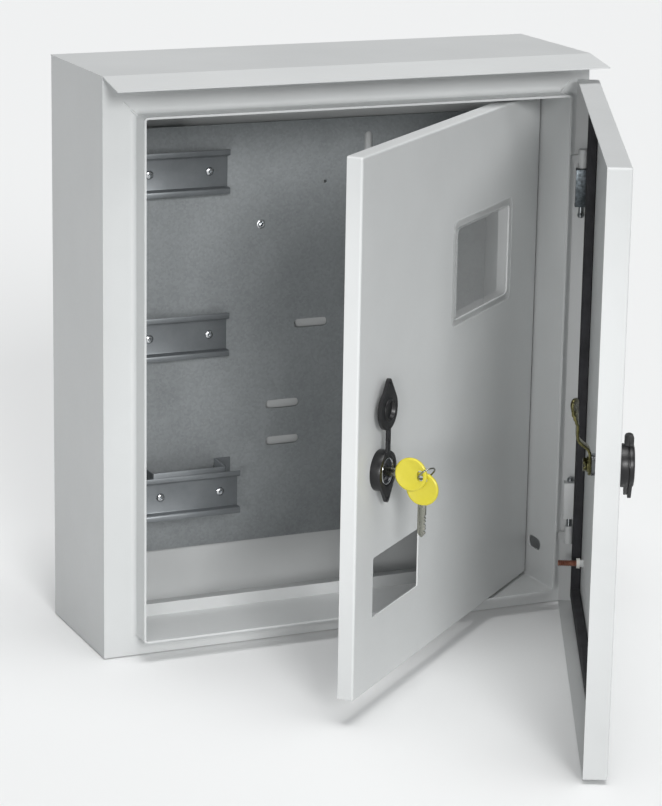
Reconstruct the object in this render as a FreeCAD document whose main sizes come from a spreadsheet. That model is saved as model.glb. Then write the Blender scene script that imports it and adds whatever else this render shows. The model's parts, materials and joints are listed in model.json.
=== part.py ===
import FreeCAD, Part
import os
import re

import Sketcher

# Wall-mounted electric meter box with an outer door, an inner door and two key locks.
# Millimetres. Origin: centre of the four wall-fixing holes on the back face.
# +X is the hinge side, +Y runs into the wall, +Z is up; both doors stand open.

SIZES = {
    # welded cabinet
    "body_width": 400,
    "body_height": 445,
    "body_depth": 117,
    "shell_sheet": 0.8,
    "shell_bend": 1.5,
    "border_side": 25,
    "border_bottom": 15,
    "border_top": 28.5,
    "visor_reach": 32.5,
    "visor_drop": 6.5,
    # lip and reveal round the opening
    "lip_reach": 20,
    "lip_corner": 3,
    "lip_fillet": 4,
    "collar_sheet": 0.8,
    "collar_depth": 37.3,
    "stop_width": 9.5,
    "wire_hole_rise": 32,
    "wire_hole_setback": 3.6,
    "wire_hole_length": 20,
    "wire_hole_width": 9.5,
    # wall fixing
    "fixing_inset": 60,
    "fixing_rise": 30,
    "fixing_drop": 45,
    "fixing_hole": 8,
    # mounting plate on its studs
    "plate_margin_x": 30,
    "plate_margin_low": 44.5,
    "plate_margin_high": 59.5,
    "plate_standoff": 4.7,
    "plate_sheet": 1.5,
    "plate_stud_inset": 18,
    "plate_stud_bore": 6.4,
    "plate_stud_thread": 6,
    "plate_stud_shoulder": 10,
    "plate_stud_tail": 3,
    "plate_nut_corner": 5.8,
    "plate_nut_thick": 5,
    "plate_slot_length": 29,
    "plate_slot_width": 7,
    "slot_one_x": 184.8,
    "slot_one_z": 176.8,
    "slot_two_x": 160.8,
    "slot_two_z": 111.8,
    "slot_three_x": 161.2,
    "slot_three_z": 81.4,
    "tall_slot_x": 233,
    "tall_slot_length": 60,
    "tall_slot_drop": 12,
    "plate_hole_x": 140.9,
    "plate_hole_z": 259.9,
    "plate_hole_size": 4.5,
    "pilot_hole_x": 195.7,
    "pilot_hole_z": 291,
    "pilot_hole_size": 2.5,
    # mounting rails
    "rail_width": 35,
    "rail_depth": 7.5,
    "rail_channel": 27,
    "rail_sheet": 1,
    "rail_length": 80.2,
    "rail_centre_x": 71.6,
    "top_rail_drop": 36.2,
    "middle_rail_z": 174.2,
    "lower_rail_z": 52,
    "rivet_pitch": 50.2,
    "rivet_shank": 4,
    "rivet_head": 7,
    "rivet_head_rise": 1.6,
    "rivet_shoulder": 6,
    "rivet_shoulder_rise": 0.9,
    "rivet_crown": 4.2,
    "rivet_crown_rise": 1.4,
    "rivet_mandrel": 1.8,
    "rivet_mandrel_floor": 0.5,
    "rivet_tail": 5,
    "rivet_tail_length": 2,
    "rivet_play": 0.1,
    "bracket_width": 62.5,
    "bracket_height": 39.5,
    "bracket_reach": 26,
    "bracket_foot": 13,
    "bracket_sheet": 1.2,
    # outer door
    "outer_margin_free": 8.5,
    "outer_margin_hinge": 5.5,
    "outer_margin_low": 2,
    "outer_margin_high": 18.5,
    "outer_gap": 8,
    "outer_depth": 17,
    "door_sheet": 1,
    "door_bend": 1.6,
    "outer_open_angle": 64.5,
    "gasket_width": 10,
    "gasket_thick": 7.5,
    # outer hinges
    "outer_axis_inset": 5.3,
    "outer_axis_ahead": 6,
    "hinge_pin": 4,
    "hinge_play": 0.05,
    "knuckle_size": 7.6,
    "knuckle_web": 2,
    "knuckle_web_ahead": 1,
    "knuckle_length": 15,
    "leaf_length": 29.6,
    "leaf_width": 12,
    "leaf_sheet": 1.5,
    "leaf_stand": 3.6,
    "hinge_seat_gap": 0.4,
    "upper_leaf_drop": 117.2,
    "lower_leaf_rise": 74.3,
    "lower_pin_bare": 6.7,
    "pin_ball": 5.7,
    "pin_ball_neck": 4,
    "pin_ball_half": 2,
    "pin_ball_drop": 7,
    "pin_nub": 4.5,
    "pin_nub_base": 5.2,
    "pin_nub_middle": 1.8,
    "pin_nub_top": 3.4,
    "pin_nub_shoulder": 3.6,
    "pin_end_inset": 1,
    # inner door
    "inner_setback": 22,
    "inner_depth": 12,
    "inner_gap": 1.9,
    "inner_gap_top": 2.4,
    "inner_gap_hinge": 3.4,
    "inner_open_angle": 41.5,
    "inner_axis_inset": 5,
    "inner_axis_behind": 6,
    "pivot_pin": 5,
    "pivot_play": 0.05,
    "pivot_shoulder": 8,
    "pivot_seat_gap": 0.1,
    "pivot_head": 9,
    "pivot_head_thick": 1.5,
    "pivot_reach": 6,
    # window and breaker cut-out in the inner door
    "window_width": 117.5,
    "window_height": 80.3,
    "window_from_free": 167.2,
    "window_from_high": 74,
    "window_flange": 5,
    "window_flange_thick": 1.2,
    "window_tray_depth": 9,
    "window_wall": 1.2,
    "window_corner": 5,
    "window_play": 0.3,
    "cutout_width": 83,
    "cutout_height": 45,
    "cutout_corner": 1.5,
    "cutout_drop": 1.5,
    # key locks, the same on both doors
    "lock_ring_size": 30,
    "lock_ring_rise": 8,
    "lock_recess_size": 21,
    "lock_recess_floor": 2,
    "lock_head_size": 20,
    "lock_head_rise": 3,
    "lock_barrel_size": 16,
    "lock_barrel_play": 0.1,
    "lock_inside": 16,
    "lock_plug_size": 10,
    "lock_plug_play": 0.05,
    "lock_plug_inset": 0.3,
    "lock_end_gap": 0.2,
    "lock_nut_corner": 12.4,
    "lock_nut_thick": 4,
    "keyway_depth": 15,
    "keyway_play": 0.05,
    "cam_sheet": 2,
    "cam_width": 11,
    "cam_heel": 7.5,
    "cam_square": 6,
    "cam_square_play": 0.05,
    "cam_bolt_corner": 5,
    "cam_bolt_thick": 3.5,
    "cam_bolt_shank": 3,
    "cam_bolt_length": 3,
    "cam_catch_gap": 0.4,
    "outer_cam_length": 46,
    "outer_cam_jog_start": 11,
    "outer_cam_jog_end": 18,
    "inner_cam_length": 35.5,
    "cam_end_round": 4.5,
    "cam_slot_low": 6.8,
    "cam_slot_high": 41,
    "outer_lock_from_free": 43.5,
    "inner_lock_from_free": 37,
    "inner_lock_from_low": 163.5,
    # rubber dust caps
    "cap_lid_size": 29.4,
    "cap_lid_thick": 3.5,
    "cap_plug_size": 20,
    "cap_plug_rise": 1.6,
    "cap_gap": 0.3,
    "cap_edge": 0.8,
    "strap_width": 5.8,
    "strap_thick": 1.6,
    "strap_axis_rise": 22.5,
    "strap_split": 0.15,
    "seal_tab_width": 6,
    "seal_tab_root": 24,
    "seal_tab_root_drop": 8.4,
    "seal_tab_neck": 16.4,
    "seal_tab_neck_drop": 11.6,
    "seal_tab_thick": 2.4,
    "seal_tab_reach": 23,
    "seal_hole_reach": 19.6,
    "seal_hole_size": 2.2,
    # keys on their wire ring
    "key_blade_thick": 2,
    "key_blade_height": 6,
    "key_blade_length": 23.2,
    "key_blade_root": 6,
    "key_bit_depth": 1.3,
    "key_notch": 3.3,
    "key_head_size": 24.6,
    "key_head_thick": 2.8,
    "key_head_rise": 17.5,
    "key_slot_offset": 7.4,
    "key_slot_half": 1.7,
    "key_slot_size": 4.6,
    "key_wire_rest": 0.7,
    "spare_key_offset": 3.2,
    "spare_key_lift": 0.5,
    "spare_key_back": 1.2,
    "ring_radius": 6.4,
    "ring_wire": 1.2,
    "ring_tilt_angle": 45,
    "ring_swing_angle": 20,
    # earth stud on the outer door
    "earth_from_hinge": 49.5,
    "earth_from_low": 48,
    "earth_size": 5,
    "earth_length": 20,
    "earth_tip": 3.4,
    "earth_tip_length": 1,
    "earth_washer_size": 8,
    "earth_washer_thick": 2.6,
    "earth_washer_rise": 2.8,
    # how far a cutting tool runs past the faces it cuts
    "cut_past": 1,
}

doc = FreeCAD.newDocument("meter_box")
sheet = doc.addObject("Spreadsheet::Sheet", "sizes")
for row, (alias, number) in enumerate(SIZES.items(), 1):
    sheet.set(f"A{row}", alias)
    sheet.set(f"B{row}", str(number))
    sheet.setAlias(f"B{row}", alias)
doc.recompute()

WORD = re.compile(r"[a-z_]+")
NODES = {}
NEAR = 1e-4


def bound(text):
    """An expression in size names, each name pointed at its cell."""
    return WORD.sub(lambda hit: f"sizes.{hit.group()}" if hit.group() in SIZES else hit.group(), text)


def value(text):
    """The number that an expression in size names stands for now."""
    return float(sheet.evalExpression(bound(text)))


def vector(x, y, z):
    """A vector from three expressions in size names."""
    return FreeCAD.Vector(value(x), value(y), value(z))


def past(low, high):
    """A cutting tool's span, run past both faces that it cuts."""
    return (f"{low} - cut_past", f"{high} + cut_past")


def about(middle, width):
    """A span of a width, centred on an expression."""
    return (f"{middle} - ({width}) / 2", f"{middle} + ({width}) / 2")


def block(name, x, y, z):
    """A box between pairs of expressions along each axis."""
    box = doc.addObject("Part::Box", name)
    for side, axis, (low, high) in (("Length", "x", x), ("Width", "y", y), ("Height", "z", z)):
        box.setExpression(side, bound(f"({high}) - ({low})"))
        box.setExpression(f"Placement.Base.{axis}", bound(low))
    return box


def rod(name, axis, size, centre, span):
    """A round rod of a diameter along an axis, from the lower end of its span to the upper one."""
    cylinder = doc.addObject("Part::Cylinder", name)
    cylinder.setExpression("Radius", bound(f"({size}) / 2"))
    cylinder.setExpression("Height", bound(f"({span[1]}) - ({span[0]})"))
    turned_to = {"x": FreeCAD.Vector(1, 0, 0), "y": FreeCAD.Vector(0, 1, 0), "z": FreeCAD.Vector(0, 0, 1)}
    cylinder.Placement.Rotation = FreeCAD.Rotation(FreeCAD.Vector(0, 0, 1), turned_to[axis])
    across = iter(centre)
    for letter in "xyz":
        start = span[0] if letter == axis else next(across)
        cylinder.setExpression(f"Placement.Base.{letter}", bound(start))
    return cylinder


def joined(name, *pieces):
    """One solid from pieces that meet."""
    union = doc.addObject("Part::MultiFuse", name)
    union.Shapes = list(pieces)
    union.Refine = True
    return union


def gathered(name, *pieces):
    """Like pieces that stay apart, kept as one group."""
    group = doc.addObject("Part::Compound", name)
    group.Links = list(pieces)
    return group


def cut(name, base, *tools):
    """A base with tools taken out of it."""
    remainder = doc.addObject("Part::Cut", name)
    remainder.Base = base
    remainder.Tool = tools[0] if len(tools) == 1 else gathered(f"{name}_tools", *tools)
    return remainder


def softened(name, base, radius, wanted):
    """A base with the edges that pass a test rounded to a radius."""
    doc.recompute()
    size = value(radius)
    picked = [i for i, edge in enumerate(base.Shape.Edges, 1) if wanted(edge)]
    if not picked:
        raise ValueError(f"no edge to round on {name}")
    fillet = doc.addObject("Part::Fillet", name)
    fillet.Base = base
    fillet.Edges = [(i, size, size) for i in picked]
    return fillet


def runs_along(axis):
    """A test for straight edges along one axis."""
    def test(edge):
        if not isinstance(edge.Curve, Part.Line):
            return False
        return abs(getattr(edge.Curve.Direction, axis)) > 1 - NEAR
    return test


def rounded(name, x, y, z, radius, axis):
    """A box whose edges along one axis are rounded."""
    return softened(name, block(f"{name}_box", x, y, z), radius, runs_along(axis))


def slot_tool(name, along, length, width, centre, span):
    """A round-ended slot through Y or X, long in the direction named."""
    half = f"(({length}) - ({width})) / 2"
    u, v = centre
    through = "x" if along == "y" else "y"
    ends = []
    for tag, sign in (("a", "-"), ("b", "+")):
        shift = (f"{u} {sign} {half}", v) if along in "xy" else (u, f"{v} {sign} {half}")
        ends.append(rod(f"{name}_{tag}", through, width, shift, span))
    straight = f"({length}) - ({width})"
    wide, narrow = about(u, straight), about(v, width)
    if along == "z":
        wide, narrow = about(u, width), about(v, straight)
    sides = (span, wide, narrow) if through == "x" else (wide, span, narrow)
    return joined(name, block(f"{name}_m", *sides), *ends)


def outline(sketch, points):
    """A closed straight-sided outline whose corners are tied to expressions."""
    spots = [FreeCAD.Vector(value(u), value(v), 0) for u, v in points]
    count = len(points)
    for i in range(count):
        sketch.addGeometry(Part.LineSegment(spots[i], spots[(i + 1) % count]))
    for i in range(count):
        sketch.addConstraint(Sketcher.Constraint("Coincident", i, 2, (i + 1) % count, 1))
    for i, (u, v) in enumerate(points):
        for kind, text, number in (("DistanceX", u, spots[i].x), ("DistanceY", v, spots[i].y)):
            index = sketch.addConstraint(Sketcher.Constraint(kind, -1, 1, i, 1, number))
            sketch.setExpression(f"Constraints[{index}]", bound(text))


def sketched(name, plane, offset, points):
    """A body with one constrained sketch on an origin plane, moved along the plane's normal."""
    body = doc.addObject("PartDesign::Body", name)
    sketch = body.newObject("Sketcher::SketchObject", f"{name}_sketch")
    support = next(item for item in body.Origin.OriginFeatures if item.Role == plane)
    sketch.AttachmentSupport = [(support, "")]
    sketch.MapMode = "FlatFace"
    sketch.setExpression("AttachmentOffset.Base.z", bound(offset))
    outline(sketch, points)
    return body, sketch


def folded(name, plane, span, points):
    """A sheet-metal profile drawn on a plane and padded between two offsets."""
    body, sketch = sketched(name, plane, span[0], points)
    pad = body.newObject("PartDesign::Pad", f"{name}_pad")
    pad.Profile = sketch
    pad.setExpression("Length", bound(f"({span[1]}) - ({span[0]})"))
    sketch.Visibility = False
    return body


def turned(name, points):
    """A turned piece: radius and height pairs revolved round its own Z axis."""
    body, sketch = sketched(name, "XZ_Plane", "0", points)
    revolution = body.newObject("PartDesign::Revolution", f"{name}_turn")
    revolution.Profile = sketch
    revolution.ReferenceAxis = (sketch, ["V_Axis"])
    revolution.Angle = 360
    sketch.Visibility = False
    return body


def place(piece, base, rotation=FreeCAD.Rotation(), carrier=FreeCAD.Placement()):
    """Puts a piece at a base point and turn, then where the door that carries it stands."""
    piece.Placement = carrier.multiply(FreeCAD.Placement(vector(*base), rotation))
    return piece


def node(label, piece, carrier=None):
    """Names a finished sub-part, and stands it where its door stands."""
    piece.Label = label
    if carrier is not None:
        piece.Placement = carrier.multiply(piece.Placement)
    NODES[label] = piece


# planes of the cabinet
LEFT = "(-body_width / 2)"
RIGHT = "(body_width / 2)"
FIXING_PITCH = ("(body_width - 2 * fixing_inset)", "(body_height - fixing_rise - fixing_drop)")
BOTTOM = f"(-{FIXING_PITCH[1]} / 2 - fixing_rise)"
TOP = f"({BOTTOM} + body_height)"
FRONT = "(-body_depth)"
BORDER_BACK = f"({FRONT} + shell_sheet)"
BACK_INSIDE = "(-shell_sheet)"
ROOF_UNDER = f"({TOP} - shell_sheet)"

# faces of the lip and reveal
LIP = (f"({LEFT} + border_side)", f"({RIGHT} - border_side)")
LIP_Z = (f"({BOTTOM} + border_bottom)", f"({TOP} - border_top)")
LIP_FRONT = f"({FRONT} - lip_reach)"
STOP_BACK = f"({FRONT} + collar_depth)"
STOP_FRONT = f"({STOP_BACK} - collar_sheet)"


def inset(span, depth):
    """A span drawn in by the same depth at both ends."""
    return (f"({span[0]} + ({depth}))", f"({span[1]} - ({depth}))")


LINING = inset(LIP, "shell_sheet")
LINING_Z = inset(LIP_Z, "shell_sheet")
REVEAL = inset(LINING, "collar_sheet")
REVEAL_Z = inset(LINING_Z, "collar_sheet")
STOP = inset(REVEAL, "stop_width")
STOP_Z = inset(REVEAL_Z, "stop_width")

# outer door, shut
OUTER = (f"({LEFT} + outer_margin_free)", f"({RIGHT} - outer_margin_hinge)")
OUTER_Z = (f"({BOTTOM} + outer_margin_low)", f"({TOP} - outer_margin_high)")
OUTER_RIM = f"({FRONT} - outer_gap)"
OUTER_FACE = f"({OUTER_RIM} - outer_depth)"
OUTER_INSIDE = f"({OUTER_FACE} + door_sheet)"
OUTER_AXIS = (f"({OUTER[1]} - outer_axis_inset)", f"({OUTER_RIM} - outer_axis_ahead)")
OUTER_LOCK = (f"({OUTER[0]} + outer_lock_from_free)", f"(({OUTER_Z[0]} + {OUTER_Z[1]}) / 2)")

# inner door, shut
INNER = (f"({REVEAL[0]} + inner_gap)", f"({REVEAL[1]} - inner_gap_hinge)")
INNER_Z = (f"({REVEAL_Z[0]} + inner_gap)", f"({REVEAL_Z[1]} - inner_gap_top)")
INNER_FACE = f"({FRONT} + inner_setback)"
INNER_INSIDE = f"({INNER_FACE} + door_sheet)"
INNER_RIM = f"({INNER_FACE} + inner_depth)"
INNER_AXIS = (f"({INNER[1]} - inner_axis_inset)", f"({INNER_FACE} + inner_axis_behind)")
INNER_LOCK = (f"({INNER[0]} + inner_lock_from_free)", f"({INNER_Z[0]} + inner_lock_from_low)")

# mounting plate
PLATE = (f"({LEFT} + plate_margin_x)", f"({RIGHT} - plate_margin_x)")
PLATE_Z = (f"({BOTTOM} + plate_margin_low)", f"({TOP} - plate_margin_high)")
PLATE_BACK = f"({BACK_INSIDE} - plate_standoff)"
PLATE_FACE = f"({PLATE_BACK} - plate_sheet)"
RAIL_X = f"({PLATE[0]} + rail_centre_x)"
BRACKET_FACE = f"({PLATE_FACE} - bracket_reach)"
RAIL_Z = {
    "top": f"({PLATE_Z[1]} - top_rail_drop)",
    "middle": f"({PLATE_Z[0]} + middle_rail_z)",
    "lower": f"({PLATE_Z[0]} + lower_rail_z)",
}


def swung(axis, angle):
    """Where a door stands when it is turned by an angle about its upright axis."""
    turn = FreeCAD.Rotation(FreeCAD.Vector(0, 0, 1), value(angle))
    return FreeCAD.Placement(FreeCAD.Vector(), turn, vector(axis[0], axis[1], "0"))


OUTER_STANDS = swung(OUTER_AXIS, "outer_open_angle")
INNER_STANDS = swung(INNER_AXIS, "inner_open_angle")
FRONTWARD = FreeCAD.Rotation(FreeCAD.Vector(1, 0, 0), 90)
INWARD = FreeCAD.Rotation(FreeCAD.Vector(1, 0, 0), -90)
UPRIGHT = FreeCAD.Rotation()
DOWNWARD = FreeCAD.Rotation(FreeCAD.Vector(1, 0, 0), 180)


def build_cabinet():
    """Sides and back in one folded sheet, floor, roof with its visor, front border and lip."""
    wrap = folded("wrap_sheet", "XY_Plane", (BOTTOM, ROOF_UNDER), [
        (LEFT, BORDER_BACK),
        (LEFT, "0"),
        (RIGHT, "0"),
        (RIGHT, BORDER_BACK),
        (f"{RIGHT} - shell_sheet", BORDER_BACK),
        (f"{RIGHT} - shell_sheet", BACK_INSIDE),
        (f"{LEFT} + shell_sheet", BACK_INSIDE),
        (f"{LEFT} + shell_sheet", BORDER_BACK),
    ])
    bent = softened("wrap_bent", wrap, "shell_bend",
                    lambda edge: runs_along("z")(edge) and abs(edge.CenterOfMass.y) < NEAR)
    holes = [
        rod(f"wall_hole_{i}", "y", "fixing_hole",
            (f"{sx}{FIXING_PITCH[0]} / 2", f"{sz}{FIXING_PITCH[1]} / 2"), past(BACK_INSIDE, "0"))
        for i, (sx, sz) in enumerate((("-", "-"), ("+", "-"), ("-", "+"), ("+", "+")))
    ]
    node("body_wrap", cut("wrap_drilled", bent, *holes))

    node("floor_panel", block("floor_sheet", (f"{LEFT} + shell_sheet", f"{RIGHT} - shell_sheet"),
                              (BORDER_BACK, BACK_INSIDE), (BOTTOM, f"{BOTTOM} + shell_sheet")))

    roof = folded("roof_sheet", "YZ_Plane", (LEFT, RIGHT), [
        ("0", ROOF_UNDER),
        ("0", TOP),
        (FRONT, TOP),
        (f"{FRONT} - visor_reach", f"{TOP} - visor_drop"),
        (f"{FRONT} - visor_reach", f"{TOP} - visor_drop - shell_sheet"),
        (FRONT, ROOF_UNDER),
    ])
    node("roof_panel", roof)

    plate = block("border_plate", (LEFT, RIGHT), (FRONT, BORDER_BACK), (BOTTOM, ROOF_UNDER))
    lip = rounded("lip_outside", LIP, (LIP_FRONT, BORDER_BACK), LIP_Z, "lip_corner", "y")
    mouth = rounded("lip_inside", LINING, (f"{LIP_FRONT} - cut_past", f"{BORDER_BACK} + cut_past"), LINING_Z,
                    "lip_corner - shell_sheet", "y")
    border = cut("border_open", joined("border_with_lip", plate, lip), mouth)
    front = value(FRONT)
    edge_x = value(LIP[1]) + NEAR
    edge_z = value(LIP_Z[1]) + NEAR

    def at_lip_root(edge):
        box = edge.BoundBox
        flat = abs(box.YMin - front) < NEAR and abs(box.YMax - front) < NEAR
        return flat and max(abs(box.XMin), abs(box.XMax)) < edge_x and box.ZMax < edge_z

    gutter = softened("border_gutter", border, "lip_fillet", at_lip_root)
    node("front_border", gutter)


def build_collar():
    """Reveal behind the lip, with the stop flange, the cam slot, the wire hole and the pivot holes."""
    outside = rounded("collar_outside", LINING, (LIP_FRONT, STOP_BACK), LINING_Z,
                      "lip_corner - shell_sheet", "y")
    inside = rounded("collar_inside", REVEAL, (f"{LIP_FRONT} - cut_past", STOP_FRONT), REVEAL_Z,
                     "lip_corner - shell_sheet - collar_sheet", "y")
    throat = block("collar_throat", STOP, past(STOP_FRONT, STOP_BACK), STOP_Z)
    cam_slot = block("cam_slot", past(LINING[0], REVEAL[0]),
                     (BORDER_BACK, f"{BORDER_BACK} + 2 * cam_catch_gap + cam_sheet"),
                     (f"{OUTER_LOCK[1]} - cam_slot_low", f"{OUTER_LOCK[1]} + cam_slot_high"))
    wire_at = (f"{FRONT} + wire_hole_setback + wire_hole_length / 2", f"{LIP_Z[0]} + wire_hole_rise")
    wire_hole = slot_tool("wire_hole", "y", "wire_hole_length", "wire_hole_width", wire_at,
                          past(REVEAL[1], LINING[1]))
    pivots = [
        rod("pivot_bore_low", "z", "pivot_pin", INNER_AXIS, past(LINING_Z[0], REVEAL_Z[0])),
        rod("pivot_bore_high", "z", "pivot_pin", INNER_AXIS, past(REVEAL_Z[1], LINING_Z[1])),
    ]
    node("door_collar", cut("collar_cut", outside, inside, throat, cam_slot, wire_hole, *pivots))


def build_pivots():
    """Shouldered pins in the top and bottom of the reveal, on which the inner door turns."""
    pins = []
    for tag, gap, wall, turn in (("low", "inner_gap", REVEAL_Z[0], UPRIGHT),
                                 ("high", "inner_gap_top", REVEAL_Z[1], DOWNWARD)):
        pin = turned(f"pivot_{tag}", [
            ("0", "-collar_sheet - pivot_head_thick"),
            ("pivot_head / 2", "-collar_sheet - pivot_head_thick"),
            ("pivot_head / 2", "-collar_sheet"),
            ("pivot_pin / 2", "-collar_sheet"),
            ("pivot_pin / 2", "0"),
            ("pivot_shoulder / 2", "0"),
            ("pivot_shoulder / 2", f"{gap} - pivot_seat_gap"),
            ("pivot_pin / 2", f"{gap} - pivot_seat_gap"),
            ("pivot_pin / 2", f"{gap} + door_sheet + pivot_reach"),
            ("0", f"{gap} + door_sheet + pivot_reach"),
        ])
        pins.append(place(pin, (*INNER_AXIS, wall), turn))
    node("inner_door_pivots", gathered("pivot_pair", *pins))


def build_plate():
    """Galvanised mounting plate on four shouldered studs."""
    studs = []
    nuts = []
    bores = []
    for i, (x, z) in enumerate((x, z) for x in inset(PLATE, "plate_stud_inset")
                               for z in inset(PLATE_Z, "plate_stud_inset")):
        stud = turned(f"stud_{i}", [
            ("0", "0"),
            ("plate_stud_shoulder / 2", "0"),
            ("plate_stud_shoulder / 2", f"{BACK_INSIDE} - {PLATE_BACK}"),
            ("plate_stud_thread / 2", f"{BACK_INSIDE} - {PLATE_BACK}"),
            ("plate_stud_thread / 2", f"{BACK_INSIDE} - {PLATE_FACE} + plate_nut_thick + plate_stud_tail"),
            ("0", f"{BACK_INSIDE} - {PLATE_FACE} + plate_nut_thick + plate_stud_tail"),
        ])
        studs.append(place(stud, (x, BACK_INSIDE, z), FRONTWARD))
        nut = hexagon(f"stud_nut_{i}", "plate_nut_corner", ("0", "plate_nut_thick"), "plate_stud_thread")
        nuts.append(place(nut, (x, PLATE_FACE, z), FRONTWARD))
        bores.append(rod(f"stud_bore_{i}", "y", "plate_stud_bore", (x, z), THROUGH_PLATE))
    node("plate_studs", gathered("stud_set", *studs))
    node("plate_nuts", gathered("nut_set", *nuts))

    low_x, low_z = PLATE[0], PLATE_Z[0]
    slots = [
        slot_tool(f"plate_slot_{word}", "x", "plate_slot_length", "plate_slot_width",
                  (f"({low_x} + slot_{word}_x)", f"({low_z} + slot_{word}_z)"), THROUGH_PLATE)
        for word in ("one", "two", "three")
    ]
    tall_at = (f"({low_x} + tall_slot_x)", f"({PLATE_Z[1]} - tall_slot_drop - tall_slot_length / 2)")
    tall = slot_tool("plate_slot_tall", "z", "tall_slot_length", "plate_slot_width", tall_at, THROUGH_PLATE)
    slots.append(tall)
    for word in ("plate", "pilot"):
        slots.append(rod(f"{word}_hole", "y", f"{word}_hole_size",
                         (f"{low_x} + {word}_hole_x", f"{low_z} + {word}_hole_z"), THROUGH_PLATE))
    for tag in ("top", "middle"):
        slots.extend(rivet_bores(f"plate_{tag}", RAIL_Z[tag], THROUGH_PLATE))
    sheet_blank = block("plate_blank", PLATE, (PLATE_FACE, PLATE_BACK), PLATE_Z)
    node("mounting_plate", cut("plate_cut", sheet_blank, *bores, *slots))


THROUGH_PLATE = past(PLATE_FACE, PLATE_BACK)


def hexagon(name, corner, span, bore):
    """A six-sided nut with a round bore, along its own Z axis."""
    prism = doc.addObject("Part::Prism", f"{name}_blank")
    prism.Polygon = 6
    prism.setExpression("Circumradius", bound(corner))
    prism.setExpression("Height", bound(f"({span[1]}) - ({span[0]})"))
    prism.setExpression("Placement.Base.z", bound(span[0]))
    return cut(name, prism, rod(f"{name}_bore", "z", bore, ("0", "0"), past(*span)))


def rivet_bores(name, z, span):
    """The two holes that a rail's rivets pass through."""
    return [
        rod(f"{name}_rivet_bore_{tag}", "y", "rivet_shank + 2 * rivet_play",
            (f"{RAIL_X} {sign} rivet_pitch / 2", z), span)
        for tag, sign in (("a", "-"), ("b", "+"))
    ]


def build_rails():
    """Three mounting rails, the lower one on a hat bracket, each held by two blind rivets."""
    x = about(RAIL_X, "rail_length")
    half = "rail_width / 2"
    web = "rail_channel / 2"
    rivets = []
    for tag, seat, grip in (("top", PLATE_FACE, "plate_sheet"), ("middle", PLATE_FACE, "plate_sheet"),
                            ("lower", BRACKET_FACE, "bracket_sheet")):
        z = RAIL_Z[tag]
        front = f"({seat} - rail_depth)"
        floor = f"({seat} - rail_sheet)"
        rail = folded(f"{tag}_rail_profile", "YZ_Plane", x, [
            (seat, f"{z} - {web}"),
            (seat, f"{z} + {web}"),
            (f"{front} + rail_sheet", f"{z} + {web}"),
            (f"{front} + rail_sheet", f"{z} + {half}"),
            (front, f"{z} + {half}"),
            (front, f"{z} + {web} - rail_sheet"),
            (floor, f"{z} + {web} - rail_sheet"),
            (floor, f"{z} - {web} + rail_sheet"),
            (front, f"{z} - {web} + rail_sheet"),
            (front, f"{z} - {half}"),
            (f"{front} + rail_sheet", f"{z} - {half}"),
            (f"{front} + rail_sheet", f"{z} - {web}"),
        ])
        bores = rivet_bores(f"{tag}_rail", z, past(floor, seat))
        node(f"{tag}_rail", cut(f"{tag}_rail_drilled", rail, *bores))
        for side, sign in (("a", "-"), ("b", "+")):
            rivet = turned(f"{tag}_rivet_{side}", [
                ("0", f"-rail_sheet - {grip} - rivet_tail_length"),
                ("rivet_tail / 2", f"-rail_sheet - {grip} - rivet_tail_length"),
                ("rivet_tail / 2", f"-rail_sheet - {grip}"),
                ("rivet_shank / 2", f"-rail_sheet - {grip}"),
                ("rivet_shank / 2", "0"),
                ("rivet_head / 2", "0"),
                ("rivet_shoulder / 2", "rivet_shoulder_rise"),
                ("rivet_crown / 2", "rivet_crown_rise"),
                ("rivet_mandrel / 2", "rivet_head_rise"),
                ("rivet_mandrel / 2", "rivet_mandrel_floor"),
                ("0", "rivet_mandrel_floor"),
            ])
            rivets.append(place(rivet, (f"{RAIL_X} {sign} rivet_pitch / 2", floor, z), FRONTWARD))
    node("rail_rivets", gathered("rivet_set", *rivets))

    z = RAIL_Z["lower"]
    wall = (f"({RAIL_X} - bracket_width / 2)", f"({RAIL_X} + bracket_width / 2)")
    foot_top = f"{PLATE_FACE} - bracket_sheet"
    hat = folded("bracket_profile", "XY_Plane", about(z, "bracket_height"), [
        (f"{wall[0]} - bracket_foot", PLATE_FACE),
        (f"{wall[0]} + bracket_sheet", PLATE_FACE),
        (f"{wall[0]} + bracket_sheet", f"{BRACKET_FACE} + bracket_sheet"),
        (f"{wall[1]} - bracket_sheet", f"{BRACKET_FACE} + bracket_sheet"),
        (f"{wall[1]} - bracket_sheet", PLATE_FACE),
        (f"{wall[1]} + bracket_foot", PLATE_FACE),
        (f"{wall[1]} + bracket_foot", foot_top),
        (wall[1], foot_top),
        (wall[1], BRACKET_FACE),
        (wall[0], BRACKET_FACE),
        (wall[0], foot_top),
        (f"{wall[0]} - bracket_foot", foot_top),
    ])
    bores = rivet_bores("bracket", z, past(BRACKET_FACE, f"{BRACKET_FACE} + bracket_sheet"))
    node("rail_bracket", cut("bracket_drilled", hat, *bores))


def pan(name, x, z, rim, depth):
    """A folded door pan: a face with a turned-back flange on all four sides."""
    face = f"({rim} - {depth})"
    blank = block(f"{name}_blank", x, (face, rim), z)
    front = value(face)
    outer = softened(f"{name}_bent", blank, "door_bend",
                     lambda edge: runs_along("y")(edge) or abs(edge.BoundBox.YMax - front) < NEAR)
    hollow = block(f"{name}_hollow", inset(x, "door_sheet"), (f"{face} + door_sheet", f"{rim} + cut_past"),
                   inset(z, "door_sheet"))
    return outer, hollow


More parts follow.
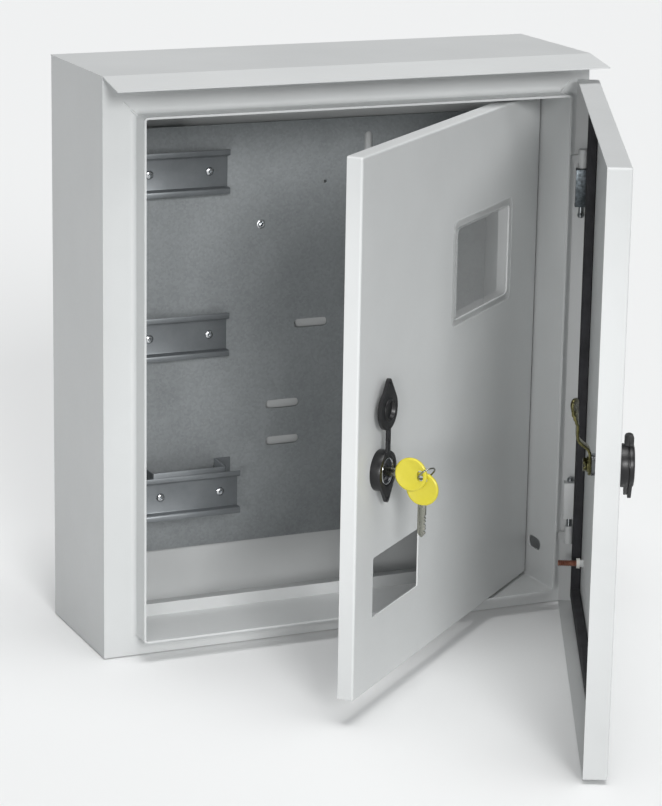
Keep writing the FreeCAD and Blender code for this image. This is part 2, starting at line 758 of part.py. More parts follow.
def build_outer_door():
    """Outer door pan with its foam seal and earth stud."""
    outer, hollow = pan("outer_pan", OUTER, OUTER_Z, OUTER_RIM, "outer_depth")
    lock_bore = rod("outer_lock_bore", "y", "lock_barrel_size + 2 * lock_barrel_play", OUTER_LOCK,
                    past(OUTER_FACE, OUTER_INSIDE))
    node("outer_door", cut("outer_pan_cut", outer, hollow, lock_bore), OUTER_STANDS)

    middle = "(shell_sheet + collar_sheet) / 2"
    out = f"({middle} - gasket_width / 2)"
    inward = f"({middle} + gasket_width / 2)"
    depth = (OUTER_INSIDE, f"{OUTER_INSIDE} + gasket_thick")
    loop = cut("gasket_loop", block("gasket_outside", inset(LIP, out), depth, inset(LIP_Z, out)),
               block("gasket_inside", inset(LIP, inward), past(*depth), inset(LIP_Z, inward)))
    node("door_gasket", loop, OUTER_STANDS)

    at = (f"({OUTER[1]} - earth_from_hinge)", f"({OUTER_Z[0]} + earth_from_low)")
    stud = turned("earth_rod", [
        ("0", "0"),
        ("earth_size / 2", "0"),
        ("earth_size / 2", "earth_length - earth_tip_length"),
        ("earth_tip / 2", "earth_length"),
        ("0", "earth_length"),
    ])
    washer = turned("earth_washer_ring", [
        ("earth_size / 2", "earth_washer_rise"),
        ("earth_washer_size / 2", "earth_washer_rise"),
        ("earth_washer_size / 2", "earth_washer_rise + earth_washer_thick"),
        ("earth_size / 2", "earth_washer_rise + earth_washer_thick"),
    ])
    for label, piece in (("earth_stud", stud), ("earth_washer", washer)):
        node(label, place(piece, (at[0], OUTER_INSIDE, at[1]), INWARD), OUTER_STANDS)


def build_hinges():
    """Weld-on hinges of the outer door: knuckle on the lip, leaf and pin on the door."""
    axis_x, axis_y = OUTER_AXIS
    upper_leaf = (f"({TOP} - upper_leaf_drop)", f"({TOP} - upper_leaf_drop + leaf_length)")
    lower_leaf = (f"({BOTTOM} + lower_leaf_rise)", f"({BOTTOM} + lower_leaf_rise + leaf_length)")
    upper_seat = f"({upper_leaf[1]} + hinge_seat_gap)"
    lower_seat = f"({lower_leaf[0]} - hinge_seat_gap - lower_pin_bare)"
    spans = {
        "upper": (upper_seat, f"({upper_seat} + knuckle_length)"),
        "lower": (f"({lower_seat} - knuckle_length)", lower_seat),
    }
    for tag, leaf in (("upper", upper_leaf), ("lower", lower_leaf)):
        span = spans[tag]
        barrel = rod(f"{tag}_barrel", "z", "knuckle_size", OUTER_AXIS, span)
        web_front = f"{axis_y} - knuckle_web_ahead"
        web = block(f"{tag}_web", (LIP[1], axis_x), (web_front, f"{web_front} + knuckle_web"), span)
        bore = rod(f"{tag}_barrel_bore", "z", "hinge_pin + 2 * hinge_play", OUTER_AXIS, past(*span))
        node(f"{tag}_hinge_knuckle", cut(f"{tag}_knuckle", joined(f"{tag}_knuckle_blank", barrel, web), bore))

        flange = f"({OUTER[1]} - door_sheet)"
        back = f"({axis_x} - leaf_stand)"
        wide = (f"{axis_y} - leaf_width / 2", f"{axis_y} + leaf_width / 2 - pin_end_inset")
        base = block(f"{tag}_leaf_base", (f"{back} - leaf_sheet", back), wide, leaf)
        reach = (f"{back} - leaf_sheet", flange)
        lugs = [
            block(f"{tag}_lug_low", reach, wide, (leaf[0], f"{leaf[0]} + leaf_sheet")),
            block(f"{tag}_lug_high", reach, wide, (f"{leaf[1]} - leaf_sheet", leaf[1])),
        ]
        leaf_bore = rod(f"{tag}_leaf_bore", "z", "hinge_pin + 2 * hinge_play", OUTER_AXIS, past(*leaf))
        node(f"{tag}_hinge_leaf", cut(f"{tag}_leaf", joined(f"{tag}_leaf_blank", base, *lugs), leaf_bore),
             OUTER_STANDS)

    upper_pin = turned("upper_pin", [
        ("0", "-pin_ball_drop - pin_ball / 2"),
        ("pin_ball_neck / 2", "-pin_ball_drop - pin_ball_half"),
        ("pin_ball / 2", "-pin_ball_drop"),
        ("pin_ball_neck / 2", "-pin_ball_drop + pin_ball_half"),
        ("hinge_pin / 2", "-pin_ball_drop + pin_ball_half + pin_end_inset"),
        ("hinge_pin / 2", "leaf_length + hinge_seat_gap + knuckle_length - pin_end_inset"),
        ("0", "leaf_length + hinge_seat_gap + knuckle_length - pin_end_inset"),
    ])
    place(upper_pin, (axis_x, axis_y, upper_leaf[0]))
    node("upper_hinge_pin", upper_pin, OUTER_STANDS)
    lower_pin = turned("lower_pin", [
        ("0", "-hinge_seat_gap - lower_pin_bare - knuckle_length + pin_end_inset"),
        ("hinge_pin / 2", "-hinge_seat_gap - lower_pin_bare - knuckle_length + pin_end_inset"),
        ("hinge_pin / 2", "leaf_length + hinge_seat_gap"),
        ("pin_nub_base / 2", "leaf_length + hinge_seat_gap"),
        ("pin_ball / 2", "leaf_length + hinge_seat_gap + pin_nub_middle"),
        ("pin_nub_top / 2", "leaf_length + hinge_seat_gap + pin_nub_shoulder"),
        ("0", "leaf_length + hinge_seat_gap + pin_nub"),
    ])
    place(lower_pin, (axis_x, axis_y, lower_leaf[0]))
    node("lower_hinge_pin", lower_pin, OUTER_STANDS)


def build_inner_door():
    """Inner door pan with the meter window and the breaker cut-out over the lower rail."""
    outer, hollow = pan("inner_pan", INNER, INNER_Z, INNER_RIM, "inner_depth")
    window = (f"({INNER[0]} + window_from_free)", f"({INNER[0]} + window_from_free + window_width)")
    window_z = (f"({INNER_Z[1]} - window_from_high - window_height)", f"({INNER_Z[1]} - window_from_high)")
    through = past(INNER_FACE, INNER_INSIDE)
    opening = rounded("window_opening", inset(window, "window_flange"), through,
                      inset(window_z, "window_flange"), "window_corner", "y")
    cutout_z = f"{RAIL_Z['lower']} - cutout_drop"
    cutout = rounded("breaker_cutout", about(RAIL_X, "cutout_width"), through,
                     about(cutout_z, "cutout_height"), "cutout_corner", "y")
    lock_bore = rod("inner_lock_bore", "y", "lock_barrel_size + 2 * lock_barrel_play", INNER_LOCK, through)
    pivots = [
        rod(f"door_pivot_{tag}", "z", "pivot_pin + 2 * pivot_play", INNER_AXIS, span)
        for tag, span in (("low", past(INNER_Z[0], f"{INNER_Z[0]} + door_sheet")),
                          ("high", past(f"{INNER_Z[1]} - door_sheet", INNER_Z[1])))
    ]
    node("inner_door", cut("inner_pan_cut", outer, hollow, opening, cutout, lock_bore, *pivots), INNER_STANDS)

    flange_front = f"{INNER_FACE} - window_flange_thick"
    flange = rounded("window_flange_plate", window, (flange_front, INNER_FACE), window_z,
                     "window_corner", "y")
    boss_inset = "window_flange + window_play"
    tray_back = f"{INNER_FACE} + window_tray_depth"
    tray = rounded("window_tray", inset(window, boss_inset), (INNER_FACE, tray_back),
                   inset(window_z, boss_inset), "window_corner - window_play", "y")
    bay_inset = f"{boss_inset} + window_wall"
    bay = rounded("window_bay", inset(window, bay_inset),
                  (f"{flange_front} - cut_past", f"{tray_back} - window_wall"),
                  inset(window_z, bay_inset), "window_corner - window_play - window_wall", "y")
    node("window_pane", cut("window_moulding", joined("window_blank", flange, tray), bay), INNER_STANDS)


# lock frame: X to the hinge side, Y up, Z outward from the door's front face
RING_TOP = "lock_ring_rise"
HEAD_BASE = "lock_recess_floor"
HEAD_TOP = "(lock_recess_floor + lock_head_rise)"
BARREL_END = "(-door_sheet - lock_inside)"
CAM_FRONT = f"({BARREL_END} - lock_end_gap)"
CAM_BACK = f"({CAM_FRONT} - cam_sheet)"
FLIP_AXIS = ("strap_axis_rise", "(lock_ring_rise + cap_gap / 2)")
CATCH_FRONT = "(-outer_depth - outer_gap - shell_sheet - cam_catch_gap)"


def lock_housing(tag):
    """Lock body, its nut, and the rubber ring with a seal tab and half of the cap strap."""
    body = turned(f"{tag}_lock_shell", [
        ("lock_plug_size / 2 + lock_plug_play", BARREL_END),
        ("lock_barrel_size / 2", BARREL_END),
        ("lock_barrel_size / 2", HEAD_BASE),
        ("lock_head_size / 2", HEAD_BASE),
        ("lock_head_size / 2", HEAD_TOP),
        ("lock_plug_size / 2 + lock_plug_play", HEAD_TOP),
    ])
    nut = hexagon(f"{tag}_lock_hex", "lock_nut_corner", ("-door_sheet - lock_nut_thick", "-door_sheet"),
                  "lock_barrel_size + 2 * lock_barrel_play")
    ring = turned(f"{tag}_lock_ring", [
        ("lock_barrel_size / 2 + lock_barrel_play", "0"),
        ("lock_ring_size / 2", "0"),
        ("lock_ring_size / 2", f"{RING_TOP} - cap_edge"),
        ("lock_ring_size / 2 - cap_edge", RING_TOP),
        ("lock_recess_size / 2", RING_TOP),
        ("lock_recess_size / 2", HEAD_BASE),
        ("lock_barrel_size / 2 + lock_barrel_play", HEAD_BASE),
    ])
    edge = "lock_ring_size / 2 - 2 * cap_edge"
    strap = block(f"{tag}_ring_strap", about("0", "strap_width"),
                  (edge, "strap_axis_rise - strap_split"),
                  (f"{RING_TOP} - strap_split - strap_thick", f"{RING_TOP} - strap_split"))
    tab = seal_tab(f"{tag}_ring_tab", (f"{RING_TOP} - seal_tab_thick", RING_TOP))
    return body, nut, joined(f"{tag}_ring_moulding", ring, strap, tab)


def seal_tab(name, span):
    """A tapering tab below the lock with a hole for a seal wire, clear of the recess."""
    end = "(-seal_tab_reach + seal_tab_width / 2)"
    strip = folded(f"{name}_strip", "XY_Plane", span, [
        ("-seal_tab_root / 2", "-seal_tab_root_drop"),
        ("-seal_tab_neck / 2", "-seal_tab_neck_drop"),
        ("seal_tab_neck / 2", "-seal_tab_neck_drop"),
        ("seal_tab_root / 2", "-seal_tab_root_drop"),
        ("seal_tab_width / 2", end),
        ("-seal_tab_width / 2", end),
    ])
    nose = rod(f"{name}_nose", "z", "seal_tab_width", ("0", end), span)
    hole = rod(f"{name}_hole", "z", "seal_hole_size", ("0", "-seal_hole_reach"), past(*span))
    return cut(name, joined(f"{name}_blank", strip, nose), hole)


def lock_cap(tag):
    """Dust cap as it sits when shut: lid with a plug, half of the strap, and a seal tab."""
    seat = f"({RING_TOP} + cap_gap)"
    lid = turned(f"{tag}_cap_lid", [
        ("0", f"{seat} - cap_plug_rise"),
        ("cap_plug_size / 2 - cap_edge", f"{seat} - cap_plug_rise"),
        ("cap_plug_size / 2", f"{seat} - cap_plug_rise + cap_edge"),
        ("cap_plug_size / 2", seat),
        ("cap_lid_size / 2", seat),
        ("cap_lid_size / 2", f"{seat} + cap_lid_thick - cap_edge"),
        ("cap_lid_size / 2 - cap_edge", f"{seat} + cap_lid_thick"),
        ("0", f"{seat} + cap_lid_thick"),
    ])
    edge = "cap_lid_size / 2 - 2 * cap_edge"
    strap = block(f"{tag}_cap_strap", about("0", "strap_width"),
                  (edge, "strap_axis_rise - strap_split"),
                  (f"{seat} + strap_split", f"{seat} + strap_split + strap_thick"))
    tab = seal_tab(f"{tag}_cap_tab", (seat, f"{seat} + seal_tab_thick"))
    return joined(f"{tag}_cap_moulding", lid, strap, tab)


def lock_core(tag):
    """Plug with its keyway and square end, and the bolt that holds the cam on it."""
    face = f"({HEAD_TOP} - lock_plug_inset)"
    shank_end = f"({CAM_BACK} + cam_sheet + cam_bolt_length)"
    plug = turned(f"{tag}_plug_rod", [
        ("0", shank_end),
        ("cam_bolt_shank / 2", shank_end),
        ("cam_bolt_shank / 2", CAM_FRONT),
        ("lock_plug_size / 2", CAM_FRONT),
        ("lock_plug_size / 2", face),
        ("0", face),
    ])
    side = about("0", "cam_square")
    square = block(f"{tag}_plug_square", side, side, (CAM_BACK, CAM_FRONT))
    bore = rod(f"{tag}_plug_bore", "z", "cam_bolt_shank", ("0", "0"), (f"{CAM_BACK} - cut_past", CAM_FRONT))
    keyway = block(f"{tag}_keyway", about("0", "key_blade_thick + 2 * keyway_play"),
                   about("0", "key_blade_height + 2 * keyway_play"),
                   (f"{face} - keyway_depth", f"{face} + cut_past"))
    plug_end = cut(f"{tag}_plug_end", square, bore)
    plug_done = cut(f"{tag}_plug", joined(f"{tag}_plug_blank", plug, plug_end), keyway)

    bolt_back = f"{CAM_BACK} - cam_bolt_thick"
    head = hexagon(f"{tag}_bolt_head", "cam_bolt_corner", (bolt_back, CAM_BACK), "cam_bolt_shank")
    shank = rod(f"{tag}_bolt_shank", "z", "cam_bolt_shank", ("0", "0"), (bolt_back, shank_end))
    return plug_done, joined(f"{tag}_cam_bolt", head, shank)


def cam_plate(tag, length, points):
    """A cam folded from strip, with rounded ends and a square hole on the plug's end."""
    strip = folded(f"{tag}_cam_strip", "YZ_Plane", about("0", "cam_width"), points)
    side = about("0", "cam_square + 2 * cam_square_play")
    hole = block(f"{tag}_cam_hole", side, side, past(CAM_BACK, CAM_FRONT))
    ends = (value(length), value("-cam_heel"))

    def at_end(edge):
        return runs_along("z")(edge) and any(abs(edge.CenterOfMass.y - end) < NEAR for end in ends)

    return cut(f"{tag}_cam", softened(f"{tag}_cam_round", strip, "cam_end_round", at_end), hole)


def key_pair(tag):
    """A steel key and its moulded head, blade down, origin at the middle of the head."""
    tip = "(-key_head_size / 2 - key_blade_length)"
    half = "key_blade_height / 2"
    bit = "key_blade_height / 2 - key_bit_depth"
    root = "(-key_head_size / 2 + key_blade_root)"
    notch = "key_notch"
    blade = folded(f"{tag}_blade_strip", "YZ_Plane", about("0", "key_blade_thick"), [
        (f"-{half}", root),
        (f"-{half}", f"{tip} + {half}"),
        ("0", tip),
        (half, f"{tip} + {half}"),
        (bit, f"{tip} + {half} + {notch}"),
        (half, f"{tip} + {half} + {notch} * 2"),
        (bit, f"{tip} + {half} + {notch} * 3"),
        (half, f"{tip} + {half} + {notch} * 4"),
        (half, root),
    ])
    thick = about("0", "key_head_thick")
    disc = rod(f"{tag}_head_disc", "x", "key_head_size", ("0", "0"), thick)
    seat = block(f"{tag}_head_seat", about("0", "key_blade_thick"), about("0", "key_blade_height"),
                 ("-key_head_size", root))
    slot = slot_tool(f"{tag}_head_slot", "y", "2 * key_slot_half + key_slot_size", "key_slot_size",
                     ("0", "key_slot_offset"), past(*thick))
    return blade, cut(f"{tag}_head", disc, seat, slot)


def build_locks():
    """Both locks, with caps, cams and keys, each standing on its door."""
    outer_cam = cam_plate("outer", "outer_cam_length", [
        ("-cam_heel", CAM_BACK),
        ("-cam_heel", CAM_FRONT),
        ("outer_cam_jog_start", CAM_FRONT),
        ("outer_cam_jog_end", CATCH_FRONT),
        ("outer_cam_length", CATCH_FRONT),
        ("outer_cam_length", f"{CATCH_FRONT} - cam_sheet"),
        ("outer_cam_jog_end - cam_sheet / 2", f"{CATCH_FRONT} - cam_sheet"),
        ("outer_cam_jog_start - cam_sheet / 2", CAM_BACK),
    ])
    inner_cam = cam_plate("inner", "inner_cam_length", [
        ("-cam_heel", CAM_BACK),
        ("-cam_heel", CAM_FRONT),
        ("inner_cam_length", CAM_FRONT),
        ("inner_cam_length", CAM_BACK),
    ])
    flip = FreeCAD.Placement(FreeCAD.Vector(), DOWNWARD, vector("0", *FLIP_AXIS))
    for tag, at, face, carrier, cam in (("outer", OUTER_LOCK, OUTER_FACE, OUTER_STANDS, outer_cam),
                                        ("inner", INNER_LOCK, INNER_FACE, INNER_STANDS, inner_cam)):
        body, nut, ring = lock_housing(tag)
        plug, bolt = lock_core(tag)
        cap = lock_cap(tag)
        seat = (at[0], face, at[1])
        frame = carrier.multiply(FreeCAD.Placement(vector(*seat), FRONTWARD))
        pieces = {"lock_body": body, "lock_nut": nut, "lock_collar": ring, "lock_plug": plug, "lock_cam": cam,
                  "cam_bolt": bolt, "lock_cap": cap}
        for word, piece in pieces.items():
            node(f"{tag}_{word}", piece, frame)
        if tag == "inner":
            cap.Placement = frame.multiply(flip)
            build_keys(frame)


def build_keys(frame):
    """The key in the inner lock, the wire ring through its head, and the spare key on the ring."""
    head_z = "(lock_ring_rise + key_head_rise)"
    blade, head = key_pair("door_key")
    in_lock = frame.multiply(FreeCAD.Placement(vector("0", "0", head_z), UPRIGHT))
    node("door_key", blade, in_lock)
    node("door_key_head", head, in_lock)

    # the wire rests at the lower end of the slot, and the ring leans up and outward
    wire = ("(-key_slot_half - key_wire_rest)", f"({head_z} + key_slot_offset)")
    lean = ("cos(ring_tilt_angle)", "sin(ring_tilt_angle)")
    ring = doc.addObject("Part::Torus", "ring_torus")
    ring.setExpression("Radius1", bound("ring_radius"))
    ring.setExpression("Radius2", bound("ring_wire / 2"))
    tilt = FreeCAD.Rotation(FreeCAD.Vector(1, 0, 0), value("ring_tilt_angle"))
    swing = FreeCAD.Rotation(FreeCAD.Vector(0, 1, 0), value("-ring_swing_angle"))
    centre = vector("0", f"{wire[0]} + ring_radius * {lean[0]}", f"{wire[1]} + ring_radius * {lean[1]}")
    ring.Placement = FreeCAD.Placement(centre, tilt.multiply(swing))
    node("key_ring", ring, frame)

    # where the bent wire runs at the spare key's own plane
    bend = "asin(spare_key_offset / (ring_radius * cos(ring_swing_angle)))"
    rise = f"ring_radius * (1 - cos({bend}))"
    drift = "spare_key_offset * tan(ring_swing_angle)"
    wire_y = f"{wire[0]} + {rise} * {lean[0]} - {drift} * {lean[1]}"
    wire_z = f"{wire[1]} + {rise} * {lean[1]} + {drift} * {lean[0]}"
    middle = vector("spare_key_offset", f"{wire_y} - key_slot_offset - spare_key_lift",
                    f"{wire_z} - spare_key_back")
    hangs = FreeCAD.Rotation(FreeCAD.Vector(1, 0, 0), -90)
    blade, head = key_pair("spare_key")
    hung = frame.multiply(FreeCAD.Placement(middle, hangs))
    node("spare_key", blade, hung)
    node("spare_key_head", head, hung)


build_cabinet()
build_collar()
build_pivots()
build_plate()
build_rails()
build_outer_door()
build_hinges()
build_inner_door()
build_locks()
doc.recompute()

for item in doc.Objects:
    if "Invalid" in item.State or "Error" in item.State:
        raise ValueError(f"{item.Name} did not build: {item.State}")
os.makedirs("parts", exist_ok=True)
for label, piece in NODES.items():
    shape = piece.Shape
    if shape.isNull() or not shape.isValid() or not shape.Solids:
        raise ValueError(f"{label} has no sound solid")
    shape.exportStep(f"parts/{label}.step")
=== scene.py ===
"""Looks of a wall-mounted electric meter box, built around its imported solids.

Lengths in the dataclasses are millimetres in the part's own frame: +X to the hinge side,
+Y into the wall, +Z up, with both doors standing open. Blender itself works in metres, and so
does the studio round the box.
"""

import json
import logging
import math
from dataclasses import dataclass, field
from enum import Enum
from typing import Any, Callable, Iterable, Sequence

import bpy
from mathutils import Matrix, Vector

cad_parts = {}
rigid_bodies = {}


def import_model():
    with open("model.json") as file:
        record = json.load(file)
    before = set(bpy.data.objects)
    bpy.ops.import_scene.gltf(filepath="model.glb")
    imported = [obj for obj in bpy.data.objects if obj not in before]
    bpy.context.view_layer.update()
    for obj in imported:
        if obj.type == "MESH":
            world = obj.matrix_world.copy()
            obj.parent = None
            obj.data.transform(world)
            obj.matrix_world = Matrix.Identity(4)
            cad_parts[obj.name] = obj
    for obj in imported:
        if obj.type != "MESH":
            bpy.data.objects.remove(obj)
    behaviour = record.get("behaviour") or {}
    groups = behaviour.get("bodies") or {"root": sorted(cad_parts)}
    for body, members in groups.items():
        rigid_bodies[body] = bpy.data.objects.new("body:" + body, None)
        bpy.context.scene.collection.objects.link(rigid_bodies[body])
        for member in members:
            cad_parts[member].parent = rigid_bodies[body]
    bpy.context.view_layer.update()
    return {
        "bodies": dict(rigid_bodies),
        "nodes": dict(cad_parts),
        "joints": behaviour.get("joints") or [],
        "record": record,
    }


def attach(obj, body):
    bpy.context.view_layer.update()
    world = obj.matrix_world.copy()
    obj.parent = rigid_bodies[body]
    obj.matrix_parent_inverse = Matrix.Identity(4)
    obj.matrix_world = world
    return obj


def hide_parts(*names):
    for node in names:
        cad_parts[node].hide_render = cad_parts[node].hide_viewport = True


LOG = logging.getLogger("meter_box")
MM = 0.001
# Two places this close, in millimetres, count as one.
NEAR = 0.01
# How far a cutting tool runs past what it cuts, in millimetres.
OVER = 1.0
# Points this close, in metres, are merged.
WELD = 1e-6
# Turns a piece that rises along Z so that it stands out of the front.
FACE_OUT = Matrix.Rotation(math.pi / 2, 4, "X")

Model = bpy.types.Object
Ring = tuple[float, float]
Spot = tuple[float, float, float]


class Body(Enum):
    """The moving bodies that pieces ride on."""

    CABINET = "cabinet"
    OUTER_DOOR = "outer_door_set"
    OUTER_CAP = "outer_cap"
    OUTER_CORE = "outer_lock_core"
    INNER_DOOR = "inner_door_set"
    INNER_CAP = "inner_cap"
    INNER_CORE = "inner_lock_core"
    SPARE_KEY = "spare_key_set"


class Side(Enum):
    """Which way a boolean goes."""

    CUT = "DIFFERENCE"
    JOIN = "UNION"


class Pick(Enum):
    """What edit mode selects."""

    POINTS = "VERT"
    EDGES = "EDGE"
    FACES = "FACE"


def linear(code: str) -> tuple[float, float, float, float]:
    """Turns an sRGB hex colour into linear light.

    Args:
        code: Six hex digits after a hash.

    Returns:
        Linear red, green, blue, and full alpha.
    """
    parts = [int(code[i:i + 2], 16) / 255 for i in (1, 3, 5)]
    light = [p / 12.92 if p <= 0.04045 else ((p + 0.055) / 1.055) ** 2.4 for p in parts]
    return light[0], light[1], light[2], 1.0


def per_metre(size_mm: float) -> float:
    """The texture scale whose features are about a size in millimetres."""
    return 1.0 / (size_mm * MM)


def shift(spot: Sequence[float]) -> Matrix:
    """The move to a spot in millimetres."""
    return Matrix.Translation(Vector(spot) * MM)


def rings_at(radius: float, height: float, steps: Iterable[Ring]) -> list[Ring]:
    """Rings at small steps from one radius and height."""
    return [(radius + out, height + up) for out, up in steps]


def add(tree: bpy.types.NodeTree, kind: str, links: dict[Any, Any] | None = None,
        **settings: Any) -> bpy.types.Node:
    """Adds one shader node with its settings, values and links.

    Args:
        tree: The node tree that gets the node.
        kind: The node's type name.
        links: Socket name or index to a value, or to the socket that feeds it.
        **settings: Attributes of the node.

    Returns:
        The new node.
    """
    made = tree.nodes.new(kind)
    for name, value in settings.items():
        setattr(made, name, value)
    for socket, value in (links or {}).items():
        if isinstance(value, bpy.types.NodeSocket):
            tree.links.new(value, made.inputs[socket])
        else:
            made.inputs[socket].default_value = value
    return made


@dataclass(frozen=True)
class Finish:
    """One real material: what it is, how its surface was made, and what that gives the eye."""

    name: str
    slot: str
    dark: str
    light: str
    patch_mm: float
    roughness: tuple[float, float]
    grain_mm: float
    grain_depth_mm: float
    metallic: float = 0.0
    ior: float = 1.5
    stretch: Spot = (1.0, 1.0, 1.0)
    spangle_mm: float = 0.0
    spangle_depth: float = 0.1
    alpha: float = 1.0

    def material(self) -> bpy.types.Material:
        """Builds the procedural material once, and gives the same one to later callers.

        Returns:
            The material for this finish.
        """
        known = bpy.data.materials.get(self.name)
        if known is not None:
            return known
        made = bpy.data.materials.new(self.name)
        made.use_nodes = True
        tree = made.node_tree
        shader = next(n for n in tree.nodes if n.type == "BSDF_PRINCIPLED")
        place = add(tree, "ShaderNodeTexCoord")
        turned = add(tree, "ShaderNodeMapping", {
            "Vector": place.outputs["Object"], "Scale": self.stretch,
        })
        patch = add(tree, "ShaderNodeTexNoise", {
            "Vector": turned.outputs["Vector"], "Scale": per_metre(self.patch_mm),
            "Detail": 4.0, "Roughness": 0.6,
        })
        tone = self._tone(tree, turned, patch)
        grain = add(tree, "ShaderNodeTexNoise", {
            "Vector": turned.outputs["Vector"], "Scale": per_metre(self.grain_mm),
            "Detail": 3.0, "Roughness": 0.55,
        })
        gloss = add(tree, "ShaderNodeMapRange", {
            "Value": grain.outputs["Fac"], "From Min": 0.25, "From Max": 0.75,
            "To Min": self.roughness[0], "To Max": self.roughness[1],
        })
        bump = add(tree, "ShaderNodeBump", {
            "Height": grain.outputs["Fac"], "Distance": self.grain_depth_mm * MM, "Strength": 1.0,
        })
        tree.links.new(tone, shader.inputs["Base Color"])
        tree.links.new(gloss.outputs["Result"], shader.inputs["Roughness"])
        tree.links.new(bump.outputs["Normal"], shader.inputs["Normal"])
        shader.inputs["Metallic"].default_value = self.metallic
        shader.inputs["Alpha"].default_value = self.alpha
        if not self.metallic:
            shader.inputs["IOR"].default_value = self.ior
        return made

    def _tone(self, tree: bpy.types.NodeTree, turned: bpy.types.Node,
              patch: bpy.types.Node) -> bpy.types.NodeSocket:
        """Colour that drifts between two tones, over crystal spangle where the metal has it.

        Args:
            tree: The material's node tree.
            turned: The mapping node that places the pattern.
            patch: The slow noise.

        Returns:
            The colour socket.
        """
        ramp = add(tree, "ShaderNodeValToRGB", {"Fac": patch.outputs["Fac"]})
        stops = ((0.3, self.dark), (0.7, self.light))
        for stop, (position, code) in zip(ramp.color_ramp.elements, stops):
            stop.position = position
            stop.color = linear(code)
        if not self.spangle_mm:
            return ramp.outputs["Color"]
        crystal = add(tree, "ShaderNodeTexVoronoi", {
            "Vector": turned.outputs["Vector"], "Scale": per_metre(self.spangle_mm),
            "Randomness": 1.0,
        })
        shade = add(tree, "ShaderNodeSeparateColor", {"Color": crystal.outputs["Color"]})
        level = add(tree, "ShaderNodeMapRange", {
            "Value": shade.outputs["Red"],
            "To Min": 1.0 - self.spangle_depth, "To Max": 1.0 + self.spangle_depth,
        })
        mixed = add(tree, "ShaderNodeMix", {0: 1.0}, data_type="RGBA", blend_type="MULTIPLY")
        tree.links.new(ramp.outputs["Color"], mixed.inputs["A"])
        tree.links.new(level.outputs["Result"], mixed.inputs["B"])
        return mixed.outputs["Result"]


# A grain finer than about a millimetre is drawn about a millimetre wide, so that it shows.
# Polyester powder coat baked on steel: an even light grey with a fine orange-peel skin and a
# soft sheen.
POWDER_COAT = Finish("polyester_powder_coat", "grey_paint", "#C4C6C6", "#CBCDCD", 160,
                     (0.38, 0.5), 1.9, 0.03)
# Hot-dip galvanised sheet: cool mid grey, finely mottled by small zinc crystals, and shiny enough
# to mirror softly. The crystals are drawn a little coarser than they are, so that they show.
GALVANISED = Finish("hot_dip_galvanised_sheet", "galvanised", "#9CA0A2", "#ACB0B2", 70,
                    (0.4, 0.5), 1.7, 0.008, metallic=0.7, spangle_mm=1.8, spangle_depth=0.07)
# Passivated zinc on rolled strip: like the sheet, but duller and a little darker.
RAIL_ZINC = Finish("passivated_rolled_strip", "galvanised", "#7E8285", "#8E9295", 30,
                   (0.4, 0.5), 1.7, 0.004, metallic=0.75)
# Zinc darkened by a painted reflection: blue-grey and blotched. The darkness stands in for the dark
# gasket and door back that the upper hinge leaf mirrors.
DARK_REFLECTION_ZINC = Finish("zinc_with_painted_dark_reflection", "zinc", "#33383B", "#5C6266", 3,
                     (0.3, 0.44), 1.2, 0.004, metallic=0.9, spangle_mm=2.2, spangle_depth=0.3)
# Electroplated zinc on pressed steel: bright, slightly cloudy silver.
ZINC_PLATE = Finish("bright_zinc_plate", "zinc", "#ABAFB1", "#BEC2C4", 14,
                    (0.2, 0.26), 2.4, 0.001, metallic=1.0)
# Aluminium blind rivets: clean, bright, formed in a die.
RIVET_ALUMINIUM = Finish("formed_aluminium", "rivet_bright", "#C9CCCE", "#DCDEE0", 4,
                         (0.16, 0.26), 0.8, 0.003, metallic=1.0)
# Chrome on a turned lock head: mirror bright.
CHROME = Finish("turned_chrome", "lock_chrome", "#C9CCCF", "#D6D8DA", 5,
                (0.08, 0.16), 0.9, 0.001, metallic=1.0)
# Zinc die casting with a dark plating: dull gunmetal.
PLUG_CASTING = Finish("dark_die_casting", "lock_plug", "#2C2D30", "#3D3E42", 4,
                      (0.32, 0.48), 0.9, 0.006, metallic=0.9)
# Yellow-passivated zinc on pressed strip: dull gold that drifts towards olive. It is made darker
# than the metal is, as painted shade for the shade that the cams and their bolts stand in behind
# the doors.
SHADED_YELLOW_ZINC = Finish("yellow_zinc_and_painted_shade", "yellow_zinc", "#45442E", "#706C48", 6,
                     (0.22, 0.34), 1.1, 0.004, metallic=1.0)
# Moulded rubber: near black, satin, with a fine mould grain.
BLACK_RUBBER = Finish("moulded_black_rubber", "black_rubber", "#0C0C0E", "#141416", 12,
                      (0.3, 0.44), 0.9, 0.012)
# Cut foam tape: dead matt charcoal with open cells, drawn coarse enough to show.
FOAM_TAPE = Finish("cut_foam_tape", "black_foam", "#262628", "#343437", 15,
                   (0.86, 0.98), 1.3, 0.16, ior=1.4)
# Moulded clear plastic: colourless and thin, so most light goes straight through, with a glossy
# skin and a faint haze.
CLEAR_PLASTIC = Finish("moulded_clear_plastic", "clear_pane", "#F7FAFA", "#FFFFFF", 40,
                       (0.05, 0.11), 14, 0.01, ior=1.58, alpha=0.18)
# Nickel-plated key steel: grey with a touch of warmth and fine draw lines along the blade.
KEY_STEEL = Finish("nickel_plated_steel", "key_steel", "#7C7D74", "#9C9C93", 5,
                   (0.22, 0.34), 1.4, 0.003, metallic=1.0, stretch=(1.0, 1.0, 0.3))
# Moulded yellow plastic key heads: clear yellow with a soft gloss.
KEY_PLASTIC = Finish("moulded_yellow_plastic", "key_yellow", "#BDB22E", "#C6BB37", 10,
                     (0.32, 0.44), 1.0, 0.008, ior=1.53)
# Copper-plated weld stud: warm orange metal.
COPPER_PLATE = Finish("copper_plate", "copper", "#8A5A4A", "#B98572", 4,
                      (0.24, 0.38), 0.8, 0.005, metallic=1.0)
# Turned nylon washer: milky white.
WHITE_NYLON = Finish("turned_white_nylon", "white_plastic", "#D8D7D2", "#E4E3DE", 8,
                     (0.42, 0.56), 0.9, 0.008, ior=1.53)
